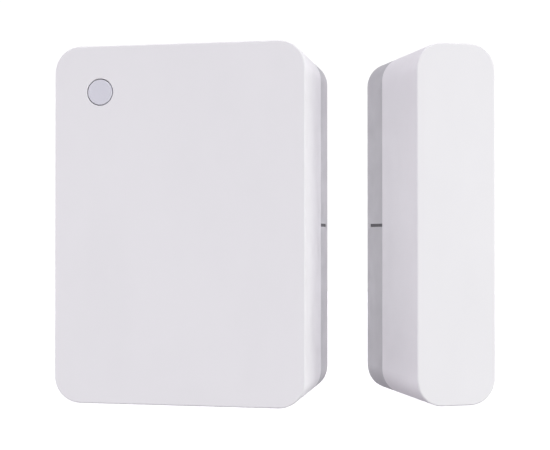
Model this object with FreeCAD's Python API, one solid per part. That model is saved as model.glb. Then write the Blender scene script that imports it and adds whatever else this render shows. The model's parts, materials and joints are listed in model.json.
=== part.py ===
"""Wireless door contact sensor: a sensor half for the frame and a magnet half for the door leaf.

Millimetres. +Z is up and the front faces look along -Y, away from the wall. The origin is the centre of the
sensor half's adhesive face, which is stuck to the frame. The magnet half is stuck beside it on the door leaf,
and is modelled with the leaf AJAR_DEG open about the hinge line at the frame's edge.

Each half is a deep front shell on a shallow rear cover. The rear cover stays stuck to the door, and the front
shell pulls off it forwards with everything that it carries.
"""

import FreeCAD, Part
import math
import os

from FreeCAD import Vector

# ---------------------------------------------------------------- case
HEIGHT = 47.0
SENSOR_WIDTH = 33.6
MAGNET_WIDTH = 10.9
CASE_DEPTH = 19.8
SHELL_DEPTH = 13.15
CORNER_R = 3.5
CLOSED_GAP = 5.5
AJAR_DEG = 25.5

SENSOR_WALL = 1.6
MAGNET_WALL = 1.3
FRONT_WALL = 1.6
BACK_WALL = 1.6
FRONT_FILLET = 0.2
BACK_FILLET = 0.5
LIP_LENGTH = 1.45
SEAM_GAP = 0.05
FIT_GAP = 0.05
SLIDE_GAP = 0.1
OVERLAP = 0.4
CUT_PAST = 1.0
TOLERANCE = 1e-6

PAD_PROUD = 0.8
PAD_RECESS = 0.2
PAD_ROOM = 0.15
SENSOR_PAD = {"width": 24.0, "height": 38.0, "radius": 2.5}
MAGNET_PAD = {"width": 7.0, "height": 38.0, "radius": 1.5}

MARK_WIDTH = 0.45
MARK_LENGTH = 4.9
MARK_DEPTH = 0.3
MARK_FILL = 0.18

PRY_WIDTH = 6.0
PRY_LENGTH = 1.2
PRY_DEPTH = 0.55

EJECTOR_R = 1.25
EJECTOR_DEPTH = 0.12
SENSOR_EJECTORS = [(-12.0, 14.5), (12.0, 14.5), (-12.5, -19.0), (12.5, -19.0), (11.0, -3.0)]
MAGNET_EJECTOR_Z = [-20.5, -10.0, 10.0, 20.5]

SENSOR_RIB_Z = [4.5, 18.5]
SENSOR_RIB_T = 1.0
SENSOR_RIB_REACH = 1.6
MAGNET_RIB_Z = [-5.0, 5.0]
MAGNET_RIB_T = 1.2
MAGNET_RIB_REACH = 3.6

# Levels along Y, from the wall forwards
BACK_Y = -PAD_PROUD
COVER_FLOOR_Y = BACK_Y - BACK_WALL
FRONT_Y = BACK_Y - CASE_DEPTH
SHELL_FLOOR_Y = FRONT_Y + FRONT_WALL
SEAM_Y = FRONT_Y + SHELL_DEPTH
LIP_Y = SEAM_Y - LIP_LENGTH
COVER_FRONT_Y = SEAM_Y + SEAM_GAP
TOP_Z = HEIGHT / 2

MAGNET_X = SENSOR_WIDTH / 2 + CLOSED_GAP + MAGNET_WIDTH / 2
HINGE = Vector(SENSOR_WIDTH / 2, 0, 0)

# ---------------------------------------------------------------- snap arms
ARM_LENGTH = 3.5
ARM_WIDTH = 5.0
ARM_T = 0.9
ARM_ROOT_SHARE = 0.75
CATCH_LENGTH = 0.9
CATCH_REACH = 0.25
SENSOR_ARMS = [(side, z) for side in (-1, 1) for z in (-11.0, 11.0)]
MAGNET_ARMS = [(side, z) for side in (-1, 1) for z in (-17.0, 17.0)]

# ---------------------------------------------------------------- circuit board
PCB_T = 1.0
PCB_REAR_Y = -11.5
PCB_FRONT_Y = PCB_REAR_Y - PCB_T
PCB_MARGIN = 0.5
PCB_CORNER_R = 1.5
SCREWS = {"upper": (12.0, 16.8), "lower": (12.0, -17.5)}
SCREW_R = 0.95
SCREW_HEAD_R = 1.9
SCREW_HEAD_T = 1.3
SCREW_HEAD_EDGE_R = 0.5
SCREW_HOLE_GAP = 0.15
SCREW_THREAD = 4.4
CROSS_LENGTH = 2.0
CROSS_WIDTH = 0.4
CROSS_DEPTH = 0.7
PILOT_R = 0.8
PILOT_SPARE = 0.6
THREAD_GAP = 0.02
BOSS_R = 2.2
PINS = [(-12.3, 10.0), (-12.3, -19.0)]
PIN_R = 0.75
PIN_LENGTH = 1.8
PIN_HOLE_GAP = 0.1
PIN_BOSS_R = 1.8
WEB_T = 1.0
WEB_DROP = 1.5

# Small components behind the board, each as centre x, centre z, width, height and thickness
RADIO_CHIP = (1.2, 10.0, 5.0, 5.0, 0.85)
CAPACITORS = [(-6.4 + 1.5 * i, 14.3, 0.6, 1.1, 0.5) for i in range(4)]
CAPACITORS += [(-6.8, 7.4 + 1.6 * i, 1.2, 0.7, 0.55) for i in range(2)]
CAPACITORS += [(8.6, 7.3, 1.3, 2.0, 1.0)]
RESISTORS = [(6.6, 6.6 + 1.3 * i, 1.1, 0.6, 0.45) for i in range(5)]
CRYSTAL = {"x": -4.2, "z": 10.6, "width": 2.5, "height": 3.2, "radius": 0.4}
CRYSTAL_T = 0.7
CRYSTAL_EDGE_R = 0.15

ANTENNA_LEFT = -3.4
ANTENNA_LOW = 17.0
ANTENNA_HIGH = 20.3
ANTENNA_PITCH = 1.3
ANTENNA_TURNS = 8
ANTENNA_LINE = 0.5
ANTENNA_FEED = 1.6
COPPER_T = 0.05

# ---------------------------------------------------------------- button, light and tact switch
BUTTON_X = -SENSOR_WIDTH / 2 + 6.25
BUTTON_Z = TOP_Z - 6.1
BUTTON_R = 1.68
BUTTON_HOLE_R = 1.78
BUTTON_LEAD_IN = 0.06
BUTTON_TRAVEL = 0.3
BUTTON_EDGE_R = 0.12
GUIDE_WALL = 1.1
GUIDE_LENGTH = 1.8
GUIDE_END_Y = SHELL_FLOOR_Y + GUIDE_LENGTH
FLANGE_R = 2.6
FLANGE_T = 0.6
FLANGE_Y = GUIDE_END_Y + SLIDE_GAP
STEM_R = 1.0
STEM_LENGTH = 0.3
STEM_END_Y = FLANGE_Y + FLANGE_T + STEM_LENGTH
STEM_GAP = 0.02

LED_X = BUTTON_X + 4.3
LED_HALF = 0.8
LED_BASE_T = 0.35
LED_LENS_HALF = 0.6
LED_LENS_T = 0.4
LED_LENS_DRAFT = 0.12

TACT_HALF = 2.5
TACT_T = 2.0
TACT_FLOOR = 0.5
TACT_BORE_R = 1.95
TACT_TOP_Y = PCB_FRONT_Y - TACT_T
TACT_SHEET = 0.2
TACT_FOLD = 1.3
TACT_FOLD_WIDTH = 3.2
PLUNGER_HOLE_R = 1.1
PLUNGER_FOOT_R = 1.6
PLUNGER_FOOT_T = 0.4
PLUNGER_SINK = 0.1
PLUNGER_FOOT_Y = TACT_TOP_Y + PLUNGER_SINK
PLUNGER_END_Y = PLUNGER_FOOT_Y + PLUNGER_FOOT_T
DOME_R = 1.8
DOME_T = 0.08
DOME_GAP = 0.05

# ---------------------------------------------------------------- coin cell and holder
CELL_X = -2.2
CELL_Z = -6.5
CELL_R = 10.0
CELL_T = 3.2
CELL_FRONT_Y = -9.9
CELL_REAR_Y = CELL_FRONT_Y + CELL_T
CELL_CRIMP = 0.25
CAN_T = 0.4
CAN_EDGE_R = 0.35
CAP_R = 8.8
CAP_T = 0.4
CAP_STEP = 1.0
CAP_CHAMFER = 0.25
GASKET_R = 9.3
GASKET_GAP = 0.05

HOLDER_R = 11.2
HOLDER_BORE_R = 10.15
HOLDER_FLOOR_T = 0.9
HOLDER_FLOOR_Y = PCB_REAR_Y + HOLDER_FLOOR_T
HOLDER_RIM_Y = CELL_REAR_Y - 0.3
HOLDER_CHAMFER = 0.3
SPRING_WINDOW = (5.2, 13.2)
FINGER_GAP_DEG = [-20.0, 160.0]
FINGER_GAP_WIDTH = 9.0
FINGER_GAP_REACH = 4.0
FINGER_GAP_SILL = 0.6
CONTACT_SLOT_WIDTH = 4.4
CONTACT_SLOT_REACH = 2.2
CONTACT_DEG = 125.0
CONTACT_T = 0.22
CONTACT_WIDTH = 3.8
LEAF_T = 0.2
LEAF_WIDTH = 3.4

# Bent spring strips, each point as its place from the cell's axis and its height over the board
FINGER_PATH = [(12.9, 0.0), (11.0, 0.0), (10.7, 0.4), (10.3, 2.6), (10.05, 3.4), (10.55, 4.9)]
LEAF_PATH = [(-6.0, 0.0), (-1.5, 0.0), (1.5, 0.9), (4.4, 1.3), (5.6, 1.0)]

CELL_RING_R = 7.5
CELL_RING_WALL = 1.0
CELL_RING_GAP = 0.5

# ---------------------------------------------------------------- reed switch, upright beside the magnet half
REED_X = 12.3
REED_Y = -9.9
REED_HALF = 5.0
REED_R = 1.0
REED_END_R = 0.6
REED_BORE_R = 0.75
SEAL_Z = 3.5
LEAD_R = 0.22
LEAD_HALF_SPAN = 8.5
LEAD_BEND_R = 0.8
LEAD_TAIL = 0.6
LEAD_HOLE_GAP = 0.12
BLADE_T = 0.18
BLADE_HALF_W = 0.4
BLADE_HALF_GAP = 0.08
BLADE_HALF_OVERLAP = 0.8
BLADE_ROOT_GAP = 0.02

# ---------------------------------------------------------------- bar magnet and its seat
BAR_X, BAR_Y, BAR_Z = 4.8, 6.0, 24.0
BAR_EDGE_R = 0.25
CRADLE_WALL = 0.9
CRADLE_FLOOR = 0.8
CRADLE_GRIP = 0.5
CRADLE_GRIP_T = 0.6
CRADLE_WINDOW_Z = [-6.0, 6.0]
CRADLE_WINDOW = 6.0
CRADLE_WINDOW_SILL = 1.5
CRADLE_STOP = 5.0
BAR_FRONT_Y = SHELL_FLOOR_Y + CRADLE_FLOOR
BAR_REAR_Y = BAR_FRONT_Y + BAR_Y
FOAM_WIDTH = 3.6
FOAM_HEIGHT = 16.0


# ---------------------------------------------------------------- helpers
def slab(width, height, radius, y0, y1, x=0.0, z=0.0):
    """A rectangle with rounded corners in the XZ plane, extruded from y0 to y1."""
    w, h, r = width / 2, height / 2, radius
    k = r * (1 - math.sqrt(0.5))

    def at(px, pz):
        return Vector(x + px, y0, z + pz)

    edges = [
        Part.LineSegment(at(-w + r, h), at(w - r, h)),
        Part.Arc(at(w - r, h), at(w - k, h - k), at(w, h - r)),
        Part.LineSegment(at(w, h - r), at(w, -h + r)),
        Part.Arc(at(w, -h + r), at(w - k, -h + k), at(w - r, -h)),
        Part.LineSegment(at(w - r, -h), at(-w + r, -h)),
        Part.Arc(at(-w + r, -h), at(-w + k, -h + k), at(-w, -h + r)),
        Part.LineSegment(at(-w, -h + r), at(-w, h - r)),
        Part.Arc(at(-w, h - r), at(-w + k, h - k), at(-w + r, h)),
    ]
    wire = Part.Wire([e.toShape() for e in edges])
    return Part.Face(wire).extrude(Vector(0, y1 - y0, 0))


def block(x0, x1, y0, y1, z0, z1):
    """A box between two corners, given in any order."""
    low = Vector(min(x0, x1), min(y0, y1), min(z0, z1))
    return Part.makeBox(abs(x1 - x0), abs(y1 - y0), abs(z1 - z0), low)


def centred(x, z, width, height, y0, y1):
    """A box centred on x and z."""
    return block(x - width / 2, x + width / 2, y0, y1, z - height / 2, z + height / 2)


def disc(radius, y0, y1, x=0.0, z=0.0):
    """A cylinder along Y."""
    return Part.makeCylinder(radius, abs(y1 - y0), Vector(x, min(y0, y1), z), Vector(0, 1, 0))


def rod(radius, z0, z1, x, y):
    """A cylinder along Z."""
    return Part.makeCylinder(radius, abs(z1 - z0), Vector(x, y, min(z0, z1)), Vector(0, 0, 1))


def joined(shapes):
    """One solid from solids that touch or overlap."""
    return shapes[0].multiFuse(shapes[1:]).removeSplitter()


def cut_all(shape, tools):
    for tool in tools:
        shape = shape.cut(tool)
    return shape


def rim_edges(shape, y):
    """The edges of a shape that lie in the plane at y."""
    return [e for e in shape.Edges if all(abs(v.Y - y) < TOLERANCE for v in e.Vertexes)]


def thickened(path, thickness):
    """The outline of a bent strip: the path in (u, v), and back along its left side with mitred corners."""
    left = []
    for i, (u, v) in enumerate(path):
        normals = []
        for a, b in ((i - 1, i), (i, i + 1)):
            if 0 <= a and b < len(path):
                du, dv = path[b][0] - path[a][0], path[b][1] - path[a][1]
                run = math.hypot(du, dv)
                normals.append((-dv / run, du / run))
        nu, nv = sum(n[0] for n in normals), sum(n[1] for n in normals)
        size = math.hypot(nu, nv)
        reach = thickness * size / (nu * normals[0][0] + nv * normals[0][1])
        left.append((u + nu / size * reach, v + nv / size * reach))
    return path + left[::-1]


def sheet_metal(path, thickness, width, place):
    """A bent strip: place(u, v, side) is the point for a place on the path and across the strip."""
    outline = thickened(path, thickness)
    near = [place(u, v, -width / 2) for u, v in outline]
    face = Part.Face(Part.makePolygon(near + near[:1]))
    return face.extrude(place(*outline[0], width / 2) - near[0])


def on_door(shape):
    """Turns a shape of the magnet half from the closed door to the ajar door."""
    turned = shape.copy()
    turned.rotate(HINGE, Vector(0, 0, 1), AJAR_DEG)
    return turned


# ---------------------------------------------------------------- case halves
def shell_body(width, wall, x):
    """A front shell: a deep tray, open at the back, with a rebate round its rim for the cover's lip."""
    outer = slab(width, HEIGHT, CORNER_R, FRONT_Y, SEAM_Y, x)
    outer = outer.makeFillet(FRONT_FILLET, rim_edges(outer, FRONT_Y))
    cavity = slab(width - 2 * wall, HEIGHT - 2 * wall, CORNER_R - wall, SHELL_FLOOR_Y, SEAM_Y, x)
    rebate = slab(width - wall, HEIGHT - wall, CORNER_R - wall / 2, LIP_Y - SLIDE_GAP, SEAM_Y, x)
    return outer.cut(cavity).cut(rebate)


def cover_body(width, wall, x, mark_side):
    """A rear cover: a shallow tray with a lip, an alignment groove on one side and a pry notch below."""
    outer = slab(width, HEIGHT, CORNER_R, COVER_FRONT_Y, BACK_Y, x)
    outer = outer.makeFillet(BACK_FILLET, rim_edges(outer, BACK_Y))
    step = wall + 2 * FIT_GAP
    lip = slab(width - step, HEIGHT - step, CORNER_R - step / 2, LIP_Y, COVER_FRONT_Y, x)
    inside = slab(width - 2 * wall, HEIGHT - 2 * wall, CORNER_R - wall, LIP_Y, COVER_FLOOR_Y, x)
    pry_width = min(PRY_WIDTH, width / 2)
    pry = centred(x, PRY_DEPTH / 2 - TOP_Z, pry_width, PRY_DEPTH, COVER_FRONT_Y, COVER_FRONT_Y + PRY_LENGTH)
    return cut_all(joined([outer, lip]), [inside, side_strip(width, x, mark_side, MARK_DEPTH), pry])


def side_strip(width, x, side, thickness):
    """A strip at mid height on one side of a cover, from the groove's bottom outwards."""
    bottom = x + side * (width / 2 - MARK_DEPTH)
    length = (COVER_FRONT_Y, COVER_FRONT_Y + MARK_LENGTH)
    return block(bottom, bottom + side * thickness, *length, -MARK_WIDTH / 2, MARK_WIDTH / 2)


def pad(width, height, radius, x=0.0):
    """A foam adhesive pad that sits in the cover's recess and stands proud of it by PAD_PROUD."""
    return slab(width, height, radius, BACK_Y - PAD_RECESS, 0.0, x)


def pad_recess(width, height, radius, x=0.0):
    room = 2 * PAD_ROOM
    return slab(width + room, height + room, radius + PAD_ROOM, BACK_Y - PAD_RECESS, BACK_Y, x)


def snap_arm(width, wall, x, side, z):
    """A rear cover's cantilever arm, with a catch at its tip that runs in the shell's channel."""
    root = x + side * (width / 2 - wall * ARM_ROOT_SHARE)
    outer = x + side * (width / 2 - wall - SLIDE_GAP)
    inner = outer - side * ARM_T
    catch = x + side * (width / 2 - wall + CATCH_REACH)
    tip = SEAM_Y - ARM_LENGTH
    low, high = z - ARM_WIDTH / 2, z + ARM_WIDTH / 2
    foot = block(root, inner, COVER_FRONT_Y, COVER_FLOOR_Y + OVERLAP, low, high)
    beam = block(outer, inner, tip, SEAM_Y + OVERLAP, low, high)
    nose = block(catch, inner, tip, tip + CATCH_LENGTH, low, high)
    return joined([foot, beam, nose])


def snap_channel(width, wall, x, side, z):
    """The channel in the front shell's wall for the arm's catch, open towards the rim."""
    deep = x + side * (width / 2 - wall + CATCH_REACH + SLIDE_GAP)
    shallow = x + side * (width / 2 - wall - OVERLAP)
    half = ARM_WIDTH / 2 + SLIDE_GAP
    return block(deep, shallow, SEAM_Y - ARM_LENGTH - SLIDE_GAP, SEAM_Y, z - half, z + half)


def floor_rib(width, wall, x, z, thickness, reach):
    """A rib across a cover's floor, from wall to wall."""
    span = width - 2 * wall + OVERLAP
    return centred(x, z, span, thickness, COVER_FLOOR_Y - reach, COVER_FLOOR_Y + OVERLAP)


def ejector_mark(x, z):
    return disc(EJECTOR_R, COVER_FLOOR_Y, COVER_FLOOR_Y + EJECTOR_DEPTH, x, z)


# ---------------------------------------------------------------- sensor half, case
def sensor_front_shell():
    root_y = SHELL_FLOOR_Y - OVERLAP
    features = [disc(BUTTON_HOLE_R + GUIDE_WALL, root_y, GUIDE_END_Y, BUTTON_X, BUTTON_Z)]
    for x, z in SCREWS.values():
        features.append(disc(BOSS_R, root_y, PCB_FRONT_Y, x, z))
    for x, z in PINS:
        features.append(disc(PIN_BOSS_R, root_y, PCB_FRONT_Y, x, z))
        features.append(disc(PIN_R, PCB_FRONT_Y, PCB_FRONT_Y + PIN_LENGTH, x, z))
    for x, z in [*SCREWS.values(), *PINS]:
        wall_x = math.copysign(SENSOR_WIDTH / 2 - SENSOR_WALL + OVERLAP, x)
        features.append(block(x, wall_x, root_y, PCB_FRONT_Y - WEB_DROP, z - WEB_T / 2, z + WEB_T / 2))
    shell = joined([shell_body(SENSOR_WIDTH, SENSOR_WALL, 0.0), *features])

    bore = disc(BUTTON_HOLE_R, FRONT_Y, GUIDE_END_Y, BUTTON_X, BUTTON_Z)
    mouth = Vector(BUTTON_X, FRONT_Y, BUTTON_Z)
    wide_r = BUTTON_HOLE_R + BUTTON_LEAD_IN
    lead_in = Part.makeCone(wide_r, BUTTON_HOLE_R, BUTTON_LEAD_IN, mouth, Vector(0, 1, 0))
    pilot_y = PCB_FRONT_Y - SCREW_THREAD - PILOT_SPARE
    pilots = [disc(PILOT_R, pilot_y, PCB_FRONT_Y, x, z) for x, z in SCREWS.values()]
    channels = [snap_channel(SENSOR_WIDTH, SENSOR_WALL, 0.0, side, z) for side, z in SENSOR_ARMS]
    return cut_all(shell, [bore, lead_in, *pilots, *channels])


def sensor_rear_cover():
    """The cover, with a ring that keeps the coin cell in its holder."""
    ring_y = CELL_REAR_Y + CELL_RING_GAP
    ring = disc(CELL_RING_R, ring_y, COVER_FLOOR_Y + OVERLAP, CELL_X, CELL_Z)
    ring = ring.cut(disc(CELL_RING_R - CELL_RING_WALL, ring_y, COVER_FLOOR_Y, CELL_X, CELL_Z))
    arms = [snap_arm(SENSOR_WIDTH, SENSOR_WALL, 0.0, side, z) for side, z in SENSOR_ARMS]
    ribs = [
        floor_rib(SENSOR_WIDTH, SENSOR_WALL, 0.0, z, SENSOR_RIB_T, SENSOR_RIB_REACH)
        for z in SENSOR_RIB_Z
    ]
    cover = joined([cover_body(SENSOR_WIDTH, SENSOR_WALL, 0.0, 1), ring, *ribs, *arms])
    return cut_all(cover, [pad_recess(**SENSOR_PAD), *(ejector_mark(x, z) for x, z in SENSOR_EJECTORS)])


# ---------------------------------------------------------------- push button, light and tact switch
def button_cap():
    """A translucent cap with a flange that stops it behind the guide tube, and a stem to the switch."""
    head = disc(BUTTON_R, FRONT_Y, FLANGE_Y, BUTTON_X, BUTTON_Z)
    head = head.makeFillet(BUTTON_EDGE_R, rim_edges(head, FRONT_Y))
    flange = disc(FLANGE_R, FLANGE_Y, FLANGE_Y + FLANGE_T, BUTTON_X, BUTTON_Z)
    stem = disc(STEM_R, FLANGE_Y + FLANGE_T, STEM_END_Y, BUTTON_X, BUTTON_Z)
    return joined([head, flange, stem])


def status_led_base():
    return centred(LED_X, BUTTON_Z, 2 * LED_HALF, LED_HALF, PCB_FRONT_Y, PCB_FRONT_Y - LED_BASE_T)


def status_led_lens():
    """The clear moulding on the light's base, drafted on its two long sides."""
    low = PCB_FRONT_Y - LED_BASE_T
    top = low - LED_LENS_T
    foot, crown = LED_LENS_HALF, LED_LENS_HALF - LED_LENS_DRAFT
    outline = [(-foot, low), (foot, low), (crown, top), (-crown, top), (-foot, low)]
    face = Part.Face(Part.makePolygon([Vector(LED_X + x, y, BUTTON_Z - LED_HALF / 2) for x, y in outline]))
    return face.extrude(Vector(0, 0, LED_HALF))


def tact_switch_base():
    body = centred(BUTTON_X, BUTTON_Z, 2 * TACT_HALF, 2 * TACT_HALF, TACT_TOP_Y, PCB_FRONT_Y)
    return body.cut(disc(TACT_BORE_R, TACT_TOP_Y, PCB_FRONT_Y - TACT_FLOOR, BUTTON_X, BUTTON_Z))


def tact_switch_cover():
    """The sheet-metal frame over the switch, folded down two sides."""
    top = TACT_TOP_Y - TACT_SHEET
    half = TACT_HALF + TACT_SHEET
    plate = centred(BUTTON_X, BUTTON_Z, 2 * half, 2 * TACT_HALF, top, TACT_TOP_Y)
    offset = half - TACT_SHEET / 2
    fold_end = TACT_TOP_Y + TACT_FOLD
    folds = [
        centred(BUTTON_X + side * offset, BUTTON_Z, TACT_SHEET, TACT_FOLD_WIDTH, top, fold_end)
        for side in (-1, 1)
    ]
    return joined([plate, *folds]).cut(disc(PLUNGER_HOLE_R, top, TACT_TOP_Y, BUTTON_X, BUTTON_Z))


def tact_switch_plunger():
    shaft = disc(STEM_R, STEM_END_Y + STEM_GAP, PLUNGER_FOOT_Y, BUTTON_X, BUTTON_Z)
    foot = disc(PLUNGER_FOOT_R, PLUNGER_FOOT_Y, PLUNGER_END_Y, BUTTON_X, BUTTON_Z)
    return joined([shaft, foot])


def tact_switch_dome():
    """The domed snap disc under the plunger, resting on the switch's floor."""
    apex_y = PLUNGER_END_Y + BUTTON_TRAVEL + DOME_GAP
    rise = PCB_FRONT_Y - TACT_FLOOR - apex_y
    radius = (DOME_R**2 + rise**2) / (2 * rise)
    centre = Vector(BUTTON_X, apex_y + radius, BUTTON_Z)
    skin = Part.makeSphere(radius, centre).cut(Part.makeSphere(radius - DOME_T, centre))
    return skin.common(disc(DOME_R, apex_y, apex_y + rise, BUTTON_X, BUTTON_Z))


# ---------------------------------------------------------------- circuit board and its components
def main_pcb():
    margin = 2 * (SENSOR_WALL + PCB_MARGIN)
    board = slab(SENSOR_WIDTH - margin, HEIGHT - margin, PCB_CORNER_R, PCB_FRONT_Y, PCB_REAR_Y)
    holes = [(SCREW_R + SCREW_HOLE_GAP, x, z) for x, z in SCREWS.values()]
    holes += [(PIN_R + PIN_HOLE_GAP, x, z) for x, z in PINS]
    holes += [(LEAD_R + LEAD_HOLE_GAP, REED_X, side * LEAD_HALF_SPAN) for side in (-1, 1)]
    return cut_all(board, [disc(radius, PCB_FRONT_Y, PCB_REAR_Y, x, z) for radius, x, z in holes])


def pcb_screw(x, z):
    """A pan-head screw from behind the board into the shell's boss, with a cross recess."""
    top = PCB_REAR_Y + SCREW_HEAD_T
    head = disc(SCREW_HEAD_R, PCB_REAR_Y, top, x, z)
    head = head.makeFillet(SCREW_HEAD_EDGE_R, rim_edges(head, top))
    shank = disc(SCREW_R, PCB_FRONT_Y, PCB_REAR_Y, x, z)
    thread = disc(PILOT_R - THREAD_GAP, PCB_FRONT_Y - SCREW_THREAD, PCB_FRONT_Y, x, z)
    arms = [(CROSS_LENGTH, CROSS_WIDTH), (CROSS_WIDTH, CROSS_LENGTH)]
    cross = [centred(x, z, width, height, top - CROSS_DEPTH, top) for width, height in arms]
    return cut_all(joined([head, shank, thread]), cross)


def rear_chip(x, z, width, height, thick):
    """A component body on the board's rear side."""
    return centred(x, z, width, height, PCB_REAR_Y, PCB_REAR_Y + thick)


def crystal():
    """A metal can with rounded corners and a rounded top edge."""
    top = PCB_REAR_Y + CRYSTAL_T
    can = slab(y0=PCB_REAR_Y, y1=top, **CRYSTAL)
    return can.makeFillet(CRYSTAL_EDGE_R, rim_edges(can, top))


def antenna_trace():
    """A copper meander at the board's upper edge, joined to its feed."""
    rear_y = PCB_REAR_Y + COPPER_T
    x = ANTENNA_LEFT
    pieces = [block(x, x + ANTENNA_LINE, PCB_REAR_Y, rear_y, ANTENNA_LOW - ANTENNA_FEED, ANTENNA_LOW)]
    for turn in range(ANTENNA_TURNS):
        pieces.append(block(x, x + ANTENNA_LINE, PCB_REAR_Y, rear_y, ANTENNA_LOW, ANTENNA_HIGH))
        if turn < ANTENNA_TURNS - 1:
            low = ANTENNA_LOW if turn % 2 else ANTENNA_HIGH - ANTENNA_LINE
            pieces.append(block(x, x + ANTENNA_PITCH, PCB_REAR_Y, rear_y, low, low + ANTENNA_LINE))
        x += ANTENNA_PITCH
    return joined(pieces)


# ---------------------------------------------------------------- coin cell and its holder
def around_cell(shape, degrees):
    """Turns a shape made at the cell's right to an angle counted up from there, seen from the front."""
    turned = shape.copy()
    turned.rotate(Vector(CELL_X, 0, CELL_Z), Vector(0, 1, 0), -degrees)
    return turned


def rim_cut(width, reach, bottom_y):
    """What a gap takes out of the holder's rim, at the cell's right."""
    length = reach + CUT_PAST
    middle_x = CELL_X + HOLDER_R - reach + length / 2
    return centred(middle_x, CELL_Z, length, width, bottom_y, HOLDER_RIM_Y)


def battery_holder():
    """An open cradle: a floor with a window for the spring, and a rim with two finger gaps and a slot."""
    rim_y = HOLDER_RIM_Y
    outer = disc(HOLDER_R, PCB_REAR_Y, rim_y, CELL_X, CELL_Z)
    outer = outer.makeChamfer(HOLDER_CHAMFER, rim_edges(outer, rim_y))
    bore = disc(HOLDER_BORE_R, HOLDER_FLOOR_Y, rim_y, CELL_X, CELL_Z)
    window = centred(CELL_X, CELL_Z, *SPRING_WINDOW, PCB_REAR_Y, HOLDER_FLOOR_Y)
    gap = rim_cut(FINGER_GAP_WIDTH, FINGER_GAP_REACH, HOLDER_FLOOR_Y + FINGER_GAP_SILL)
    gaps = [around_cell(gap, degrees) for degrees in FINGER_GAP_DEG]
    slot = around_cell(rim_cut(CONTACT_SLOT_WIDTH, CONTACT_SLOT_REACH, PCB_REAR_Y), CONTACT_DEG)
    return cut_all(outer, [bore, window, *gaps, slot])


def battery_contact_positive():
    """A bent spring finger that presses on the cell's edge, with a foot on the board."""

    def place(u, v, side):
        return Vector(CELL_X + u, PCB_REAR_Y + v, CELL_Z + side)

    return around_cell(sheet_metal(FINGER_PATH, -CONTACT_T, CONTACT_WIDTH, place), CONTACT_DEG)


def battery_contact_negative():
    """A leaf spring on the board, with its free end bent up towards the cell's cap."""

    def place(u, v, side):
        return Vector(CELL_X + side, PCB_REAR_Y + v, CELL_Z + u)

    return sheet_metal(LEAF_PATH, LEAF_T, LEAF_WIDTH, place)


def coin_cell_can():
    """The positive can: a flat face to the rear and a crimped rim to the front."""
    rim_y = CELL_FRONT_Y + CELL_CRIMP
    can = disc(CELL_R, rim_y, CELL_REAR_Y, CELL_X, CELL_Z)
    can = can.makeFillet(CAN_EDGE_R, rim_edges(can, CELL_REAR_Y) + rim_edges(can, rim_y))
    return can.cut(disc(GASKET_R, rim_y, CELL_REAR_Y - CAN_T, CELL_X, CELL_Z))


def coin_cell_gasket():
    ends = (CELL_FRONT_Y + CELL_CRIMP + GASKET_GAP, CELL_REAR_Y - CAN_T)
    return disc(GASKET_R, *ends, CELL_X, CELL_Z).cut(disc(CAP_R, *ends, CELL_X, CELL_Z))


def coin_cell_cap():
    """The negative cap, with a raised middle; the cell's contents are one solid with it."""
    body = disc(CAP_R, CELL_FRONT_Y + CAP_T, CELL_REAR_Y - CAN_T, CELL_X, CELL_Z)
    raised = disc(CAP_R - CAP_STEP, CELL_FRONT_Y, CELL_FRONT_Y + CAP_T, CELL_X, CELL_Z)
    raised = raised.makeChamfer(CAP_CHAMFER, rim_edges(raised, CELL_FRONT_Y))
    return joined([body, raised])


# ---------------------------------------------------------------- reed switch
def reed_glass():
    """A sealed tube: hollow in the middle, closed round the leads at both ends."""
    tube = rod(REED_R, -REED_HALF, REED_HALF, REED_X, REED_Y)
    ends = [e for e in tube.Edges if e.BoundBox.ZLength < TOLERANCE]
    tube = tube.makeFillet(REED_END_R, ends)
    bore = rod(REED_BORE_R, -SEAL_Z, SEAL_Z, REED_X, REED_Y)
    return tube.cut(bore).cut(rod(LEAD_R, -REED_HALF, REED_HALF, REED_X, REED_Y))


def reed_lead(side, inner_z):
    """A wire from inside the seal, out of the glass and through the board: side is +1 up or -1 down."""
    bend_z = side * (LEAD_HALF_SPAN - LEAD_BEND_R)
    pivot = Vector(REED_X, REED_Y - LEAD_BEND_R, bend_z)
    circle = Part.Circle(Vector(REED_X, REED_Y, bend_z), Vector(0, 0, 1), LEAD_R)
    bend = Part.Face(Part.Wire(circle.toShape())).revolve(pivot, Vector(side, 0, 0), 90)
    straight = rod(LEAD_R, side * inner_z, bend_z, REED_X, REED_Y)
    leg = disc(LEAD_R, REED_Y - LEAD_BEND_R, PCB_FRONT_Y - LEAD_TAIL, REED_X, side * LEAD_HALF_SPAN)
    return joined([straight, bend, leg])


def reed_lead_lower():
    """The lower lead, with the fixed blade on its inner end."""
    y0 = REED_Y + BLADE_HALF_GAP
    ends = (-SEAL_Z, BLADE_HALF_OVERLAP)
    blade = block(REED_X - BLADE_HALF_W, REED_X + BLADE_HALF_W, y0, y0 + BLADE_T, *ends)
    return joined([reed_lead(-1, SEAL_Z - OVERLAP), blade])


def reed_blade_moving():
    """The blade that flexes from the upper seal until it meets the fixed one."""
    y0 = REED_Y - BLADE_HALF_GAP
    ends = (-BLADE_HALF_OVERLAP, SEAL_Z - BLADE_ROOT_GAP)
    return block(REED_X - BLADE_HALF_W, REED_X + BLADE_HALF_W, y0 - BLADE_T, y0, *ends)


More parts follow.
